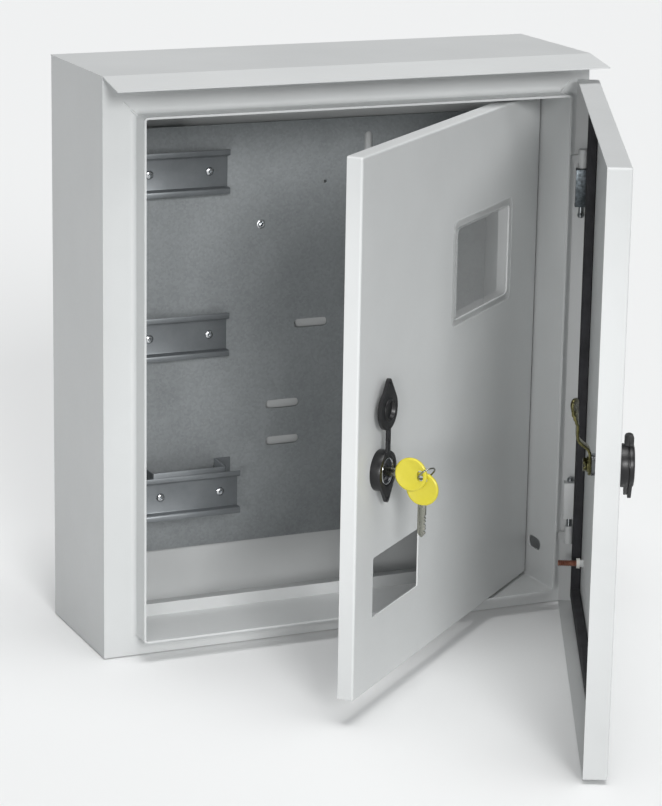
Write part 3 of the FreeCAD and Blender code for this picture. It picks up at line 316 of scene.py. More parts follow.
# One finish for each slot of the solids. RAIL_ZINC and DARK_REFLECTION_ZINC are worn by new pieces alone.
FINISHES = (POWDER_COAT, GALVANISED, ZINC_PLATE, RIVET_ALUMINIUM, CHROME, PLUG_CASTING,
            SHADED_YELLOW_ZINC, BLACK_RUBBER, FOAM_TAPE, CLEAR_PLASTIC, KEY_STEEL, KEY_PLASTIC,
            COPPER_PLATE, WHITE_NYLON)


class Bench:
    """Modelling moves shared by every piece, each done with operators on selected objects."""

    @staticmethod
    def clear() -> None:
        """Leaves edit mode and deselects everything."""
        if bpy.context.object is not None and bpy.context.object.mode != "OBJECT":
            bpy.ops.object.mode_set(mode="OBJECT")
        bpy.ops.object.select_all(action="DESELECT")

    @staticmethod
    def take(*pieces: Model) -> None:
        """Selects only some pieces, the first one active.

        Args:
            *pieces: The pieces.
        """
        Bench.clear()
        for piece in pieces:
            piece.select_set(True)
        bpy.context.view_layer.objects.active = pieces[0]

    @staticmethod
    def edit(piece: Model, pick: Pick = Pick.POINTS) -> None:
        """Opens one piece in edit mode with everything selected.

        Args:
            piece: The piece.
            pick: What edit mode selects.
        """
        Bench.take(piece)
        bpy.ops.object.mode_set(mode="EDIT")
        bpy.ops.mesh.select_mode(type=pick.value)
        bpy.ops.mesh.select_all(action="SELECT")

    @staticmethod
    def named(name: str, scale: Sequence[float] = (1.0, 1.0, 1.0)) -> Model:
        """Names the primitive that was just added, and puts its size into its mesh.

        Args:
            name: The piece's name.
            scale: How far the primitive is stretched along its own axes.

        Returns:
            The piece.
        """
        piece = bpy.context.object
        piece.name = name
        piece.data.name = name
        piece.scale = scale
        bpy.ops.object.transform_apply(location=True, rotation=True, scale=True)
        return piece

    @staticmethod
    def modify(piece: Model, kind: str, **settings: Any) -> Model:
        """Adds one modifier with its settings, and applies it.

        Args:
            piece: The piece.
            kind: The modifier's type name.
            **settings: Attributes of the modifier.

        Returns:
            The same piece.
        """
        Bench.take(piece)
        change = piece.modifiers.new(kind.lower(), kind)
        for name, value in settings.items():
            setattr(change, name, value)
        bpy.ops.object.modifier_apply(modifier=change.name)
        return piece

    @staticmethod
    def face_outward(piece: Model) -> None:
        """Turns every face of a piece outward.

        Args:
            piece: The piece.
        """
        Bench.edit(piece)
        bpy.ops.mesh.normals_make_consistent(inside=False)
        Bench.clear()

    @staticmethod
    def pull(across: float, back: float, up: float) -> None:
        """Extrudes the selected edges by a move in millimetres."""
        move = (across * MM, back * MM, up * MM)
        bpy.ops.mesh.extrude_edges_move(TRANSFORM_OT_translate={"value": move})

    @staticmethod
    def round_off(size: float, segments: int, corners: bool = False) -> None:
        """Rounds the selected edges, or the selected corners of a sheet, and leaves edit mode."""
        bpy.ops.mesh.bevel(offset=size * MM, segments=segments,
                           affect="VERTICES" if corners else "EDGES")
        Bench.clear()

    @staticmethod
    def _pick(piece: Model, pick: Pick, wanted: Callable[[Any], bool]) -> None:
        """Opens a piece in edit mode with only the elements selected that pass a test.

        Args:
            piece: The piece.
            pick: Which elements of its mesh.
            wanted: The test.
        """
        Bench.edit(piece, pick)
        bpy.ops.mesh.select_all(action="DESELECT")
        bpy.ops.object.mode_set(mode="OBJECT")
        mesh = piece.data
        elements = {Pick.POINTS: mesh.vertices, Pick.EDGES: mesh.edges, Pick.FACES: mesh.polygons}
        for element in elements[pick]:
            element.select = wanted(element)
        bpy.ops.object.mode_set(mode="EDIT")

    @staticmethod
    def pick_faces(piece: Model, wanted: Callable[[Vector, Vector], bool]) -> None:
        """Selects the faces whose centre and normal pass a test, in edit mode."""
        Bench._pick(piece, Pick.FACES, lambda face: wanted(face.center / MM, face.normal))

    @staticmethod
    def pick_edges(piece: Model, wanted: Callable[[Vector, Vector], bool]) -> None:
        """Selects the edges whose two ends pass a test, in edit mode."""
        Bench._pick(piece, Pick.EDGES, lambda edge: wanted(
            *(piece.data.vertices[number].co / MM for number in edge.vertices)))

    @staticmethod
    def pick_points(piece: Model, wanted: Callable[[Vector], bool]) -> None:
        """Selects the points that pass a test, in edit mode."""
        Bench._pick(piece, Pick.POINTS, lambda point: wanted(point.co / MM))

    @staticmethod
    def block(name: str, low: Sequence[float], high: Sequence[float]) -> Model:
        """A box between two corners in millimetres.

        Args:
            name: The piece's name.
            low: Lowest corner.
            high: Highest corner.

        Returns:
            The box, ready to be shaped.
        """
        Bench.clear()
        middle = [(a + b) / 2 * MM for a, b in zip(low, high)]
        bpy.ops.mesh.primitive_cube_add(size=1.0, location=middle)
        return Bench.named(name, [(b - a) * MM for a, b in zip(low, high)])

    @staticmethod
    def disc(name: str, radius: float, centre: Sequence[float], depth: float,
             sides: int = 48) -> Model:
        """A flat round disc along Z.

        Args:
            name: The piece's name.
            radius: Radius in millimetres.
            centre: Centre in millimetres.
            depth: Thickness in millimetres.
            sides: Number of sides.

        Returns:
            The disc, ready to be shaped.
        """
        Bench.clear()
        bpy.ops.mesh.primitive_cylinder_add(vertices=sides, radius=radius * MM, depth=depth * MM,
                                            location=[v * MM for v in centre])
        return Bench.named(name)

    @staticmethod
    def lathe(name: str, rings: Sequence[Ring], sides: int) -> Model:
        """A turned piece: a circle extruded and resized from ring to ring along Z.

        Args:
            name: The piece's name.
            rings: Radius and height pairs; a closed profile ends on its first pair.
            sides: Number of sides.

        Returns:
            The turned piece.
        """
        Bench.clear()
        radius, height = rings[0]
        bpy.ops.mesh.primitive_circle_add(vertices=sides, radius=radius * MM,
                                          location=(0, 0, height * MM))
        piece = Bench.named(name)
        Bench.edit(piece, Pick.EDGES)
        for next_radius, next_height in rings[1:]:
            Bench.pull(0, 0, next_height - height)
            factor = next_radius / radius
            bpy.ops.transform.resize(value=(factor, factor, 1.0),
                                     center_override=(0.0, 0.0, next_height * MM))
            radius, height = next_radius, next_height
        bpy.ops.mesh.select_all(action="SELECT")
        bpy.ops.mesh.remove_doubles(threshold=WELD)
        bpy.ops.mesh.fill_holes(sides=0)
        Bench.face_outward(piece)
        return piece

    @staticmethod
    def hull(name: str, *pieces: Model) -> Model:
        """The taut outline round several pieces, as one solid.

        Args:
            name: The new piece's name.
            *pieces: The pieces, which are used up.

        Returns:
            The hull.
        """
        piece = Bench.merge(name, pieces)
        Bench.edit(piece)
        bpy.ops.mesh.convex_hull()
        Bench.clear()
        return piece

    @staticmethod
    def combine(piece: Model, other: Model, side: Side) -> Model:
        """Cuts another piece away, or joins it on, and uses it up.

        Args:
            piece: The piece that stays.
            other: The tool.
            side: Cut or join.

        Returns:
            The piece that stays.
        """
        Bench.modify(piece, "BOOLEAN", operation=side.value, object=other, solver="EXACT")
        bpy.data.objects.remove(other)
        return piece

    @staticmethod
    def bevel(piece: Model, width: float, segments: int, angle: float) -> Model:
        """Rounds the edges sharper than an angle.

        Args:
            piece: The piece.
            width: Bevel width in millimetres.
            segments: Steps across the bevel.
            angle: Smallest angle between faces, in degrees.

        Returns:
            The same piece.
        """
        return Bench.modify(piece, "BEVEL", width=width * MM, segments=segments,
                            limit_method="ANGLE", angle_limit=math.radians(angle))

    @staticmethod
    def thicken(piece: Model, sheet: float, edge: float) -> Model:
        """Gives a folded surface its sheet thickness, half to each side, and breaks its edges.

        Args:
            piece: The folded surface.
            sheet: Sheet thickness in millimetres.
            edge: Width of the broken edge in millimetres.

        Returns:
            The same piece, now solid.
        """
        Bench.face_outward(piece)
        Bench.modify(piece, "SOLIDIFY", thickness=sheet * MM, offset=0.0, use_even_offset=True)
        Bench.face_outward(piece)
        return Bench.bevel(piece, edge, segments=2, angle=60)

    @staticmethod
    def hat(name: str, web: float, depth: float, flange: float, length: float,
            fold: float = 1.2) -> Model:
        """The middle surface of a hat section: length along X, web across Z, flanges at -Y.

        Args:
            name: The piece's name.
            web: Width of the web.
            depth: How far the flanges stand ahead of the web.
            flange: Width of each flange.
            length: Length along X.
            fold: Size of the rounding at each fold.

        Returns:
            The folded surface.
        """
        Bench.clear()
        bpy.ops.mesh.primitive_plane_add(size=1.0, rotation=(math.pi / 2, 0, 0))
        piece = Bench.named(name, (length * MM, web * MM, 1.0))
        for side in (1, -1):
            Bench.pick_edges(piece, lambda a, b: min(a.z * side, b.z * side) > web / 2 - NEAR)
            Bench.pull(0, -depth, 0)
            Bench.pull(0, 0, side * flange)
        Bench.pick_edges(piece, lambda a, b: abs(a.x - b.x) > NEAR
                         and abs(abs(a.z + b.z) - web) < NEAR)
        Bench.round_off(fold, segments=3)
        return piece

    @staticmethod
    def strip(name: str, width: float, path: Sequence[Ring], fold: float, end: float) -> Model:
        """The middle surface of a bent strip with rounded ends, width along X.

        Args:
            name: The piece's name.
            width: Width of the strip.
            path: Y and Z of the strip's line, from end to end.
            fold: Size of the rounding at each bend.
            end: Corner rounding at both ends.

        Returns:
            The bent surface.
        """
        (low, first_z), (second_y, _) = path[:2]
        high = path[-1][0]
        Bench.clear()
        bpy.ops.mesh.primitive_plane_add(
            size=1.0, location=(0, (low + second_y) / 2 * MM, first_z * MM))
        piece = Bench.named(name, (width * MM, (second_y - low) * MM, 1.0))
        Bench.pick_edges(piece, lambda a, b: min(a.y, b.y) > second_y - NEAR)
        for (y, z), (next_y, next_z) in zip(path[1:], path[2:]):
            Bench.pull(0, next_y - y, next_z - z)
        if len(path) > 2:
            Bench.pick_edges(piece, lambda a, b: abs(a.y - b.y) < NEAR
                             and low + NEAR < a.y < high - NEAR)
            Bench.round_off(fold, segments=5)
        Bench.pick_points(piece, lambda p: p.y < low + NEAR or p.y > high - NEAR)
        Bench.round_off(end, segments=6, corners=True)
        return piece

    @staticmethod
    def copy(piece: Model, name: str, move: Matrix) -> Model:
        """A copy with a mesh of its own, moved.

        Args:
            piece: The model.
            name: The copy's name.
            move: Where it goes.

        Returns:
            The copy.
        """
        Bench.take(piece)
        bpy.ops.object.duplicate(linked=False)
        twin = bpy.context.object
        twin.name = name
        return Bench.settle(twin, move)

    @staticmethod
    def settle(piece: Model, move: Matrix) -> Model:
        """Moves a piece and puts its place into its mesh.

        Args:
            piece: The piece.
            move: Where it goes.

        Returns:
            The same piece.
        """
        Bench.take(piece)
        piece.matrix_world = move @ piece.matrix_world
        bpy.context.view_layer.update()
        bpy.ops.object.transform_apply(location=True, rotation=True, scale=True)
        return piece

    @staticmethod
    def merge(name: str, pieces: Sequence[Model]) -> Model:
        """Gathers pieces into one object.

        Args:
            name: The group's name.
            pieces: The pieces.

        Returns:
            The group.
        """
        Bench.take(*pieces)
        bpy.ops.object.join()
        group = bpy.context.object
        group.name = name
        group.data.name = name
        return group


@dataclass
class Piece:
    """A finished piece: its body, its finish, and the solids that it stands for."""

    model: Model
    body: Body
    finish: Finish
    stands_for: tuple[str, ...] = ()
    smooth_angle: float = 32.0

    def hand_over(self) -> None:
        """Dresses the piece and gives it to its body."""
        Bench.take(self.model)
        bpy.ops.object.shade_smooth_by_angle(angle=math.radians(self.smooth_angle))
        self.model.data.materials.clear()
        self.model.data.materials.append(self.finish.material())
        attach(self.model, self.body.value)
        if self.stands_for:
            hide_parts(*self.stands_for)
        LOG.info("%s on %s: %d faces", self.model.name, self.body.value,
                 len(self.model.data.polygons))


@dataclass
class Swing:
    """A door's upright axis and how far it stands open."""

    axis_x: float
    axis_y: float
    angle: float

    def stands(self) -> Matrix:
        """The move from shut to where the door stands."""
        axis = shift((self.axis_x, self.axis_y, 0.0))
        return axis @ Matrix.Rotation(math.radians(self.angle), 4, "Z") @ axis.inverted()


OUTER_SWING = Swing(189.2, -131.0, 64.5)
INNER_SWING = Swing(165.0, -89.0, 41.5)


@dataclass
class FoamSeal:
    """Foam tape stuck round the inside of the outer door, where the lip presses."""

    half_width: float = 179.2
    low: float = -204.2
    high: float = 205.7
    tape: float = 10.0
    seat: float = -141.0
    thick: float = 7.5
    edge: float = 1.6

    def build(self) -> list[Piece]:
        """Insets a sheet to a frame, raises it and rounds its edges.

        Returns:
            The seal.
        """
        middle = (self.low + self.high) / 2
        Bench.clear()
        bpy.ops.mesh.primitive_plane_add(size=1.0, location=(0, self.seat * MM, middle * MM),
                                         rotation=(-math.pi / 2, 0, 0))
        size = (2 * self.half_width * MM, (self.high - self.low) * MM, 1.0)
        loop = Bench.named("foam_seal", size)
        Bench.edit(loop, Pick.FACES)
        bpy.ops.mesh.inset(thickness=self.tape * MM)
        bpy.ops.mesh.delete(type="FACE")
        bpy.ops.mesh.select_all(action="SELECT")
        bpy.ops.mesh.extrude_region_move(
            TRANSFORM_OT_translate={"value": (0, self.thick * MM, 0)})
        Bench.face_outward(loop)
        Bench.bevel(loop, self.edge, segments=4, angle=40)
        Bench.settle(loop, OUTER_SWING.stands())
        return [Piece(loop, Body.OUTER_DOOR, FOAM_TAPE, ("door_gasket",))]


@dataclass
class MeterWindow:
    """Clear moulded window: a flat flange on the door with a shallow tray behind it."""

    left: float = -4.3
    right: float = 113.2
    low: float = 43.2
    high: float = 123.5
    face: float = -95.0
    flange: float = 5.0
    flange_thick: float = 1.2
    tray_depth: float = 9.0
    tray_overlap: float = 0.2
    mouth: float = 5.0
    wall: float = 1.2
    play: float = 0.3
    corner: float = 5.0
    edge: float = 0.5

    def build(self) -> list[Piece]:
        """Joins the tray to the flange, hollows it and rounds every corner.

        Returns:
            The window.
        """
        inset, bottom = self.flange + self.play, self.face + self.tray_depth
        corner = self.corner - self.play
        window = self._slab("meter_window", 0.0, self.face - self.flange_thick, self.face,
                            self.corner)
        tray = self._slab("window_tray", inset, self.face - self.tray_overlap, bottom, corner)
        hollow = self._slab("window_hollow", inset + self.wall, self.face - self.mouth,
                            bottom - self.wall, corner - self.wall)
        Bench.combine(window, tray, Side.JOIN)
        Bench.combine(window, hollow, Side.CUT)
        Bench.bevel(window, self.edge, segments=3, angle=50)
        Bench.settle(window, INNER_SWING.stands())
        return [Piece(window, Body.INNER_DOOR, CLEAR_PLASTIC, ("window_pane",))]

    def _slab(self, name: str, inset: float, front: float, back: float, corner: float) -> Model:
        """A plate drawn in from the flange's outline, with rounded corners.

        Args:
            name: The plate's name.
            inset: How far it is drawn in.
            front: Its front.
            back: Its back.
            corner: Size of the rounding at its corners.

        Returns:
            The plate, ready to be joined on or cut away.
        """
        slab = Bench.block(name, (self.left + inset, front, self.low + inset),
                           (self.right - inset, back, self.high - inset))
        Bench.pick_edges(slab, lambda a, b: abs(a.y - b.y) > NEAR)
        Bench.round_off(corner, segments=6)
        return slab


@dataclass
class KeyLock:
    """Rubber ring, hinged dust cap, bright rim and dark face of one key lock.

    The lock's own frame has its origin on the door's face, Y up and Z outward.
    """

    tag: str
    swing: Swing
    door: Body
    cap_body: Body
    seat: Spot
    cap_open: bool
    ring_size: float = 15.0
    ring_rise: float = 8.0
    ring_edge: tuple[Ring, ...] = ((0.0, -1.1), (-0.3, -0.4), (-1.1, 0.0))
    ring_break: float = 0.25
    recess: float = 10.5
    recess_edge: tuple[Ring, ...] = ((0.6, 0.0), (0.0, -0.6))
    floor: float = 2.0
    bore: float = 8.1
    strap_half: float = 2.9
    strap_thick: float = 1.6
    strap_gap: float = 0.04
    strap_round: float = 0.85
    strap_root: float = 1.6
    strap_rise: float = 22.35
    hinge: tuple[float, float] = (22.5, 8.15)
    cap_gap: float = 0.3
    cap_break: float = 0.2
    lid: float = 14.7
    lid_thick: float = 3.5
    lid_front: tuple[Ring, ...] = ((-0.5, 0.0), (0.0, 0.5))
    lid_edge: tuple[Ring, ...] = ((0.0, -0.9), (-0.4, -0.25), (-1.2, 0.0))
    lid_groove: tuple[Ring, ...] = ((10.4, 0.0), (10.0, -0.5), (9.6, 0.0), (1.0, 0.0))
    dish: tuple[Ring, ...] = ((1.0, 1.3), (6.2, 1.1))
    plug: float = 8.6
    plug_rise: float = 1.6
    plug_end: tuple[Ring, ...] = ((-1.7, 0.3), (-1.4, 0.0), (-0.4, 0.0), (0.0, 0.4))
    ring_tab_tip: float = -20.0
    ring_tab_inset: float = 0.4
    ring_tab_clear: float = 1.2
    cap_tab_tip: float = -20.0
    cap_tab_inset: float = 0.1
    cap_tab_clear: float = 1.4
    tab_tip_size: float = 3.0
    tab_thick: float = 2.4
    tab_sink: float = 0.02
    hole: float = 1.1
    hole_inset: float = 0.4
    head_rise: float = 5.0
    face_bore: float = 5.1
    face_play: float = 0.05
    face_outer: tuple[Ring, ...] = ((0.0, 1.1), (-0.5, 1.0))
    face_inner: tuple[Ring, ...] = ((1.4, 0.45), (0.2, 0.4), (0.0, 0.25))
    bezel: float = 9.95
    bezel_wall: float = 0.95
    bezel_rise: float = 7.6
    bezel_outer: tuple[Ring, ...] = ((0.0, -0.3), (-0.2, 0.0))
    bezel_inner: tuple[Ring, ...] = ((0.25, 0.0), (0.0, -0.3))
    sides: int = 64

    def frame(self) -> Matrix:
        """The move from the lock's frame to where it stands on its door."""
        return self.swing.stands() @ shift(self.seat) @ FACE_OUT

    def build(self) -> list[Piece]:
        """Builds the ring, the cap, the bright rim and the dark face.

        Returns:
            The four pieces.
        """
        ring, cap, bezel, face = self._ring(), self._cap(), self._bezel(), self._face()
        place = self.frame()
        for model in (ring, bezel, face):
            Bench.settle(model, place)
        if self.cap_open:
            axis = shift((0.0, *self.hinge))
            place = place @ axis @ Matrix.Rotation(math.pi, 4, "X") @ axis.inverted()
        Bench.settle(cap, place)
        return [
            Piece(ring, self.door, BLACK_RUBBER, (f"{self.tag}_lock_collar",)),
            Piece(cap, self.cap_body, BLACK_RUBBER, (f"{self.tag}_lock_cap",)),
            Piece(bezel, self.door, CHROME),
            Piece(face, self.door, PLUG_CASTING),
        ]

    def _bezel(self) -> Model:
        """The bright rim that stands up from the lock head inside the ring.

        Returns:
            The rim in the lock's frame.
        """
        outside, low, top = self.bezel, self.head_rise, self.bezel_rise
        inside = outside - self.bezel_wall
        return Bench.lathe(f"{self.tag}_lock_bezel", [
            (inside, low), (outside, low), *rings_at(outside, top, self.bezel_outer),
            *rings_at(inside, top, self.bezel_inner), (inside, low),
        ], self.sides)

    def _face(self) -> Model:
        """The dark dished face between the bright rim and the plug.

        Returns:
            The face in the lock's frame.
        """
        inside, low = self.face_bore, self.head_rise
        outside = self.bezel - self.bezel_wall - self.face_play
        return Bench.lathe(f"{self.tag}_lock_face", [
            (inside, low), (outside, low), *rings_at(outside, low, self.face_outer),
            *rings_at(inside, low, self.face_inner), (inside, low),
        ], self.sides)

    def _tab(self, name: str, tip: float, root: float, keep_out: float, low: float,
             high: float) -> Model:
        """A tapering tab with a hole for a seal wire.

        Args:
            name: The tab's name.
            tip: Height of the tip's centre.
            root: Radius of the tab's wide end, about the lock's axis.
            keep_out: Radius about the lock's axis that the tab leaves free.
            low: Back of the tab.
            high: Front of the tab.

        Returns:
            The tab, ready to be joined on.
        """
        middle, depth = (low + high) / 2, high - low
        wide = Bench.disc(f"{name}_root", root, (0, 0, middle), depth)
        end = Bench.disc(f"{name}_tip", self.tab_tip_size, (0, tip, middle), depth, sides=24)
        tab = Bench.hull(name, wide, end)
        through = depth + 4 * OVER
        hole = Bench.disc(f"{name}_hole", self.hole, (0, tip + self.hole_inset, middle), through,
                          sides=20)
        free = Bench.disc(f"{name}_clear", keep_out, (0, 0, middle), through, self.sides)
        Bench.combine(tab, hole, Side.CUT)
        return Bench.combine(tab, free, Side.CUT)

    def _strap(self, name: str, start: float, low: float, outside: float) -> Model:
        """Half of the strap, from a rim up to the bend, rounded over at the bend.

        Args:
            name: The strap's name.
            start: Height at which it leaves the rim.
            low: Its back.
            outside: The face that is on the outside of the bend.

        Returns:
            The strap, ready to be joined on.
        """
        strap = Bench.block(name, (-self.strap_half, start, low),
                            (self.strap_half, self.strap_rise, low + self.strap_thick))
        Bench.pick_edges(strap, lambda a, b: min(a.y, b.y) > self.strap_rise - NEAR
                         and max(abs(a.z - outside), abs(b.z - outside)) < NEAR)
        Bench.round_off(self.strap_round * self.strap_thick, segments=6)
        return strap

    def _ring(self) -> Model:
        """The ring round the lock head, with its strap and tab.

        Returns:
            The ring in the lock's frame.
        """
        size, top = self.ring_size, self.ring_rise
        ring = Bench.lathe(f"{self.tag}_lock_ring", [
            (self.bore, 0.0), (size, 0.0), *rings_at(size, top, self.ring_edge),
            *rings_at(self.recess, top, self.recess_edge), (self.recess, self.floor),
            (self.bore, self.floor), (self.bore, 0.0),
        ], self.sides)
        back = self.hinge[1] - self.strap_gap - self.strap_thick
        strap = self._strap("ring_strap", size - self.strap_root, back, back)
        tab = self._tab("ring_tab", self.ring_tab_tip, size - self.ring_tab_inset,
                        self.recess + self.ring_tab_clear, top - self.tab_thick,
                        top - self.tab_sink)
        Bench.combine(ring, strap, Side.JOIN)
        Bench.combine(ring, tab, Side.JOIN)
        return Bench.bevel(ring, self.ring_break, segments=2, angle=50)

    def _cap(self) -> Model:
        """The dished lid, with its strap and tab, as it sits when shut.

        Returns:
            The cap in the lock's frame.
        """
        size, seat = self.lid, self.ring_rise + self.cap_gap
        back = seat + self.lid_thick
        lid = Bench.lathe(f"{self.tag}_dust_cap", [
            *rings_at(0.0, seat, self.dish),
            *rings_at(self.plug, seat - self.plug_rise, self.plug_end), (self.plug, seat),
            *rings_at(size, seat, self.lid_front),
            *rings_at(size, back, self.lid_edge), *rings_at(0.0, back, self.lid_groove),
        ], self.sides)
        bend = self.hinge[1] + self.strap_gap
        strap = self._strap("cap_strap", size - self.strap_root, bend, bend + self.strap_thick)
        tab = self._tab("cap_tab", self.cap_tab_tip, size - self.cap_tab_inset,
                        size - self.cap_tab_clear, seat + self.tab_sink, seat + self.tab_thick)
        Bench.combine(lid, strap, Side.JOIN)
        Bench.combine(lid, tab, Side.JOIN)
        return Bench.bevel(lid, self.cap_break, segments=2, angle=55)


OUTER_LOCK = KeyLock("outer", OUTER_SWING, Body.OUTER_DOOR, Body.OUTER_CAP,
                     (-148.0, -142.0, -0.75), False, strap_thick=3.1, ring_tab_tip=-17.8)
INNER_LOCK = KeyLock("inner", INNER_SWING, Body.INNER_DOOR, Body.INNER_CAP,
                     (-134.5, -95.0, -33.0), True, strap_rise=22.48, strap_round=0.15)


@dataclass
class DoorKeys:
    """The key in the lock and the spare that hangs beside it: steel blades in moulded heads."""

    size: float = 12.3
    thick: float = 2.8
    crown: tuple[Ring, ...] = ((1.0, 0.25), (9.6, 0.25), (10.2, 0.0), (11.4, 0.0))
    rim_in: float = 0.1
    rim_drop: float = 0.7
    centre_rise: float = 25.5
    slot_offset: float = 7.4
    slot_half: float = 1.7
    slot_size: float = 2.3
    spare: Spot = (3.2, -10.43, 33.217)
    seat_play: float = 0.02
    blade_half: float = 3.0
    blade_thick: float = 2.0
    blade_root: float = 6.3
    blade_tip: float = 35.5
    blade_break: float = 0.12
    point_share: float = 0.25
    nick_tool: Spot = (3.0, 2.0, 2.0)
    nicks: tuple[Ring, ...] = ((4.6, 1.2), (7.2, 0.7), (9.9, 1.3), (12.7, 0.9), (15.3, 1.1))
    groove_depth: float = 0.5
    groove_end: float = 1.5
    grooves: tuple[Spot, ...] = ((-1.5, -0.2, 1.0), (0.3, 1.5, -1.0))

    def build(self) -> list[Piece]:
        """Models one key and copies it to both places.

        Returns:
            Both blades and both heads.
        """
        head, blade = self._head(), self._blade()
        place = INNER_LOCK.frame()
        in_lock = place @ shift((0, 0, self.centre_rise))
        hung = place @ shift(self.spare) @ FACE_OUT.inverted()
        spare = Bench.copy(head, "spare_key_grip", hung)
        spare_blade = Bench.copy(blade, "spare_key_blade", hung)
        Bench.settle(head, in_lock)
        Bench.settle(blade, in_lock)
        return [
            Piece(blade, Body.INNER_CORE, KEY_STEEL, ("door_key",)),
            Piece(spare_blade, Body.SPARE_KEY, KEY_STEEL, ("spare_key",)),
            Piece(head, Body.INNER_CORE, KEY_PLASTIC, ("door_key_head",)),
            Piece(spare, Body.SPARE_KEY, KEY_PLASTIC, ("spare_key_head",)),
        ]

    def _blade(self) -> Model:
        """A flat blade, pointed, nicked along one edge and milled along both sides.

        Returns:
            The blade, point down, about the head's centre.
        """
        half, side, tip = self.blade_half, self.blade_thick / 2, -self.blade_tip
        blade = Bench.block("door_key_blade", (-side, -half, tip + half),
                            (side, half, -self.blade_root))
        Bench.pick_faces(blade, lambda centre, normal: normal.z < -0.9)
        bpy.ops.mesh.extrude_region_move(TRANSFORM_OT_translate={"value": (0, 0, -half * MM)})
        bpy.ops.transform.resize(value=(1.0, self.point_share, 1.0),
                                 center_override=(0, 0, tip * MM))
        Bench.clear()
        tool = Vector(self.nick_tool)
        for number, (rise, depth) in enumerate(self.nicks):
            nick = Bench.block(f"nick_{number}", -tool, tool)
            spot = shift((0, depth - half - tool.y * math.sqrt(2), tip + rise))
            Bench.settle(nick, spot @ Matrix.Rotation(math.pi / 4, 4, "X"))
            Bench.combine(blade, nick, Side.CUT)
        for number, (low, high, sign) in enumerate(self.grooves):
            near, far = sorted((sign * (side - self.groove_depth), sign * (side + OVER)))
            mill = Bench.block(f"mill_{number}", (near, low, tip - OVER),
                               (far, high, -self.size - self.groove_end))
            Bench.combine(blade, mill, Side.CUT)
        return Bench.bevel(blade, self.blade_break, segments=2, angle=35)

    def _head(self) -> Model:
        """A crowned disc with a round-ended slot.

        Returns:
            The head, slot up, about its own centre.
        """
        half, side = self.thick / 2, self.blade_thick / 2
        lower = [*rings_at(0.0, -half, self.crown), (self.size - self.rim_in, self.rim_drop - half)]
        upper = [(radius, -height) for radius, height in reversed(lower)]
        head = Bench.lathe("door_key_grip", [*lower, (self.size, 0.0), *upper], sides=72)
        ends = [Bench.disc(f"slot_end_{number}", self.slot_size,
                           (sign * self.slot_half, self.slot_offset, 0), self.thick + 5 * OVER,
                           sides=28)
                for number, sign in enumerate((-1, 1))]
        Bench.combine(head, Bench.hull("key_slot", *ends), Side.CUT)
        play = self.seat_play
        seat = Bench.block("blade_seat",
                           (-self.blade_half - play, -self.size - 2 * OVER, -side - play),
                           (self.blade_half + play, -self.blade_root, side + play))
        Bench.combine(head, seat, Side.CUT)
        upright = Matrix(((0, 0, 1, 0), (1, 0, 0, 0), (0, 1, 0, 0), (0, 0, 0, 1)))
        return Bench.settle(head, upright)


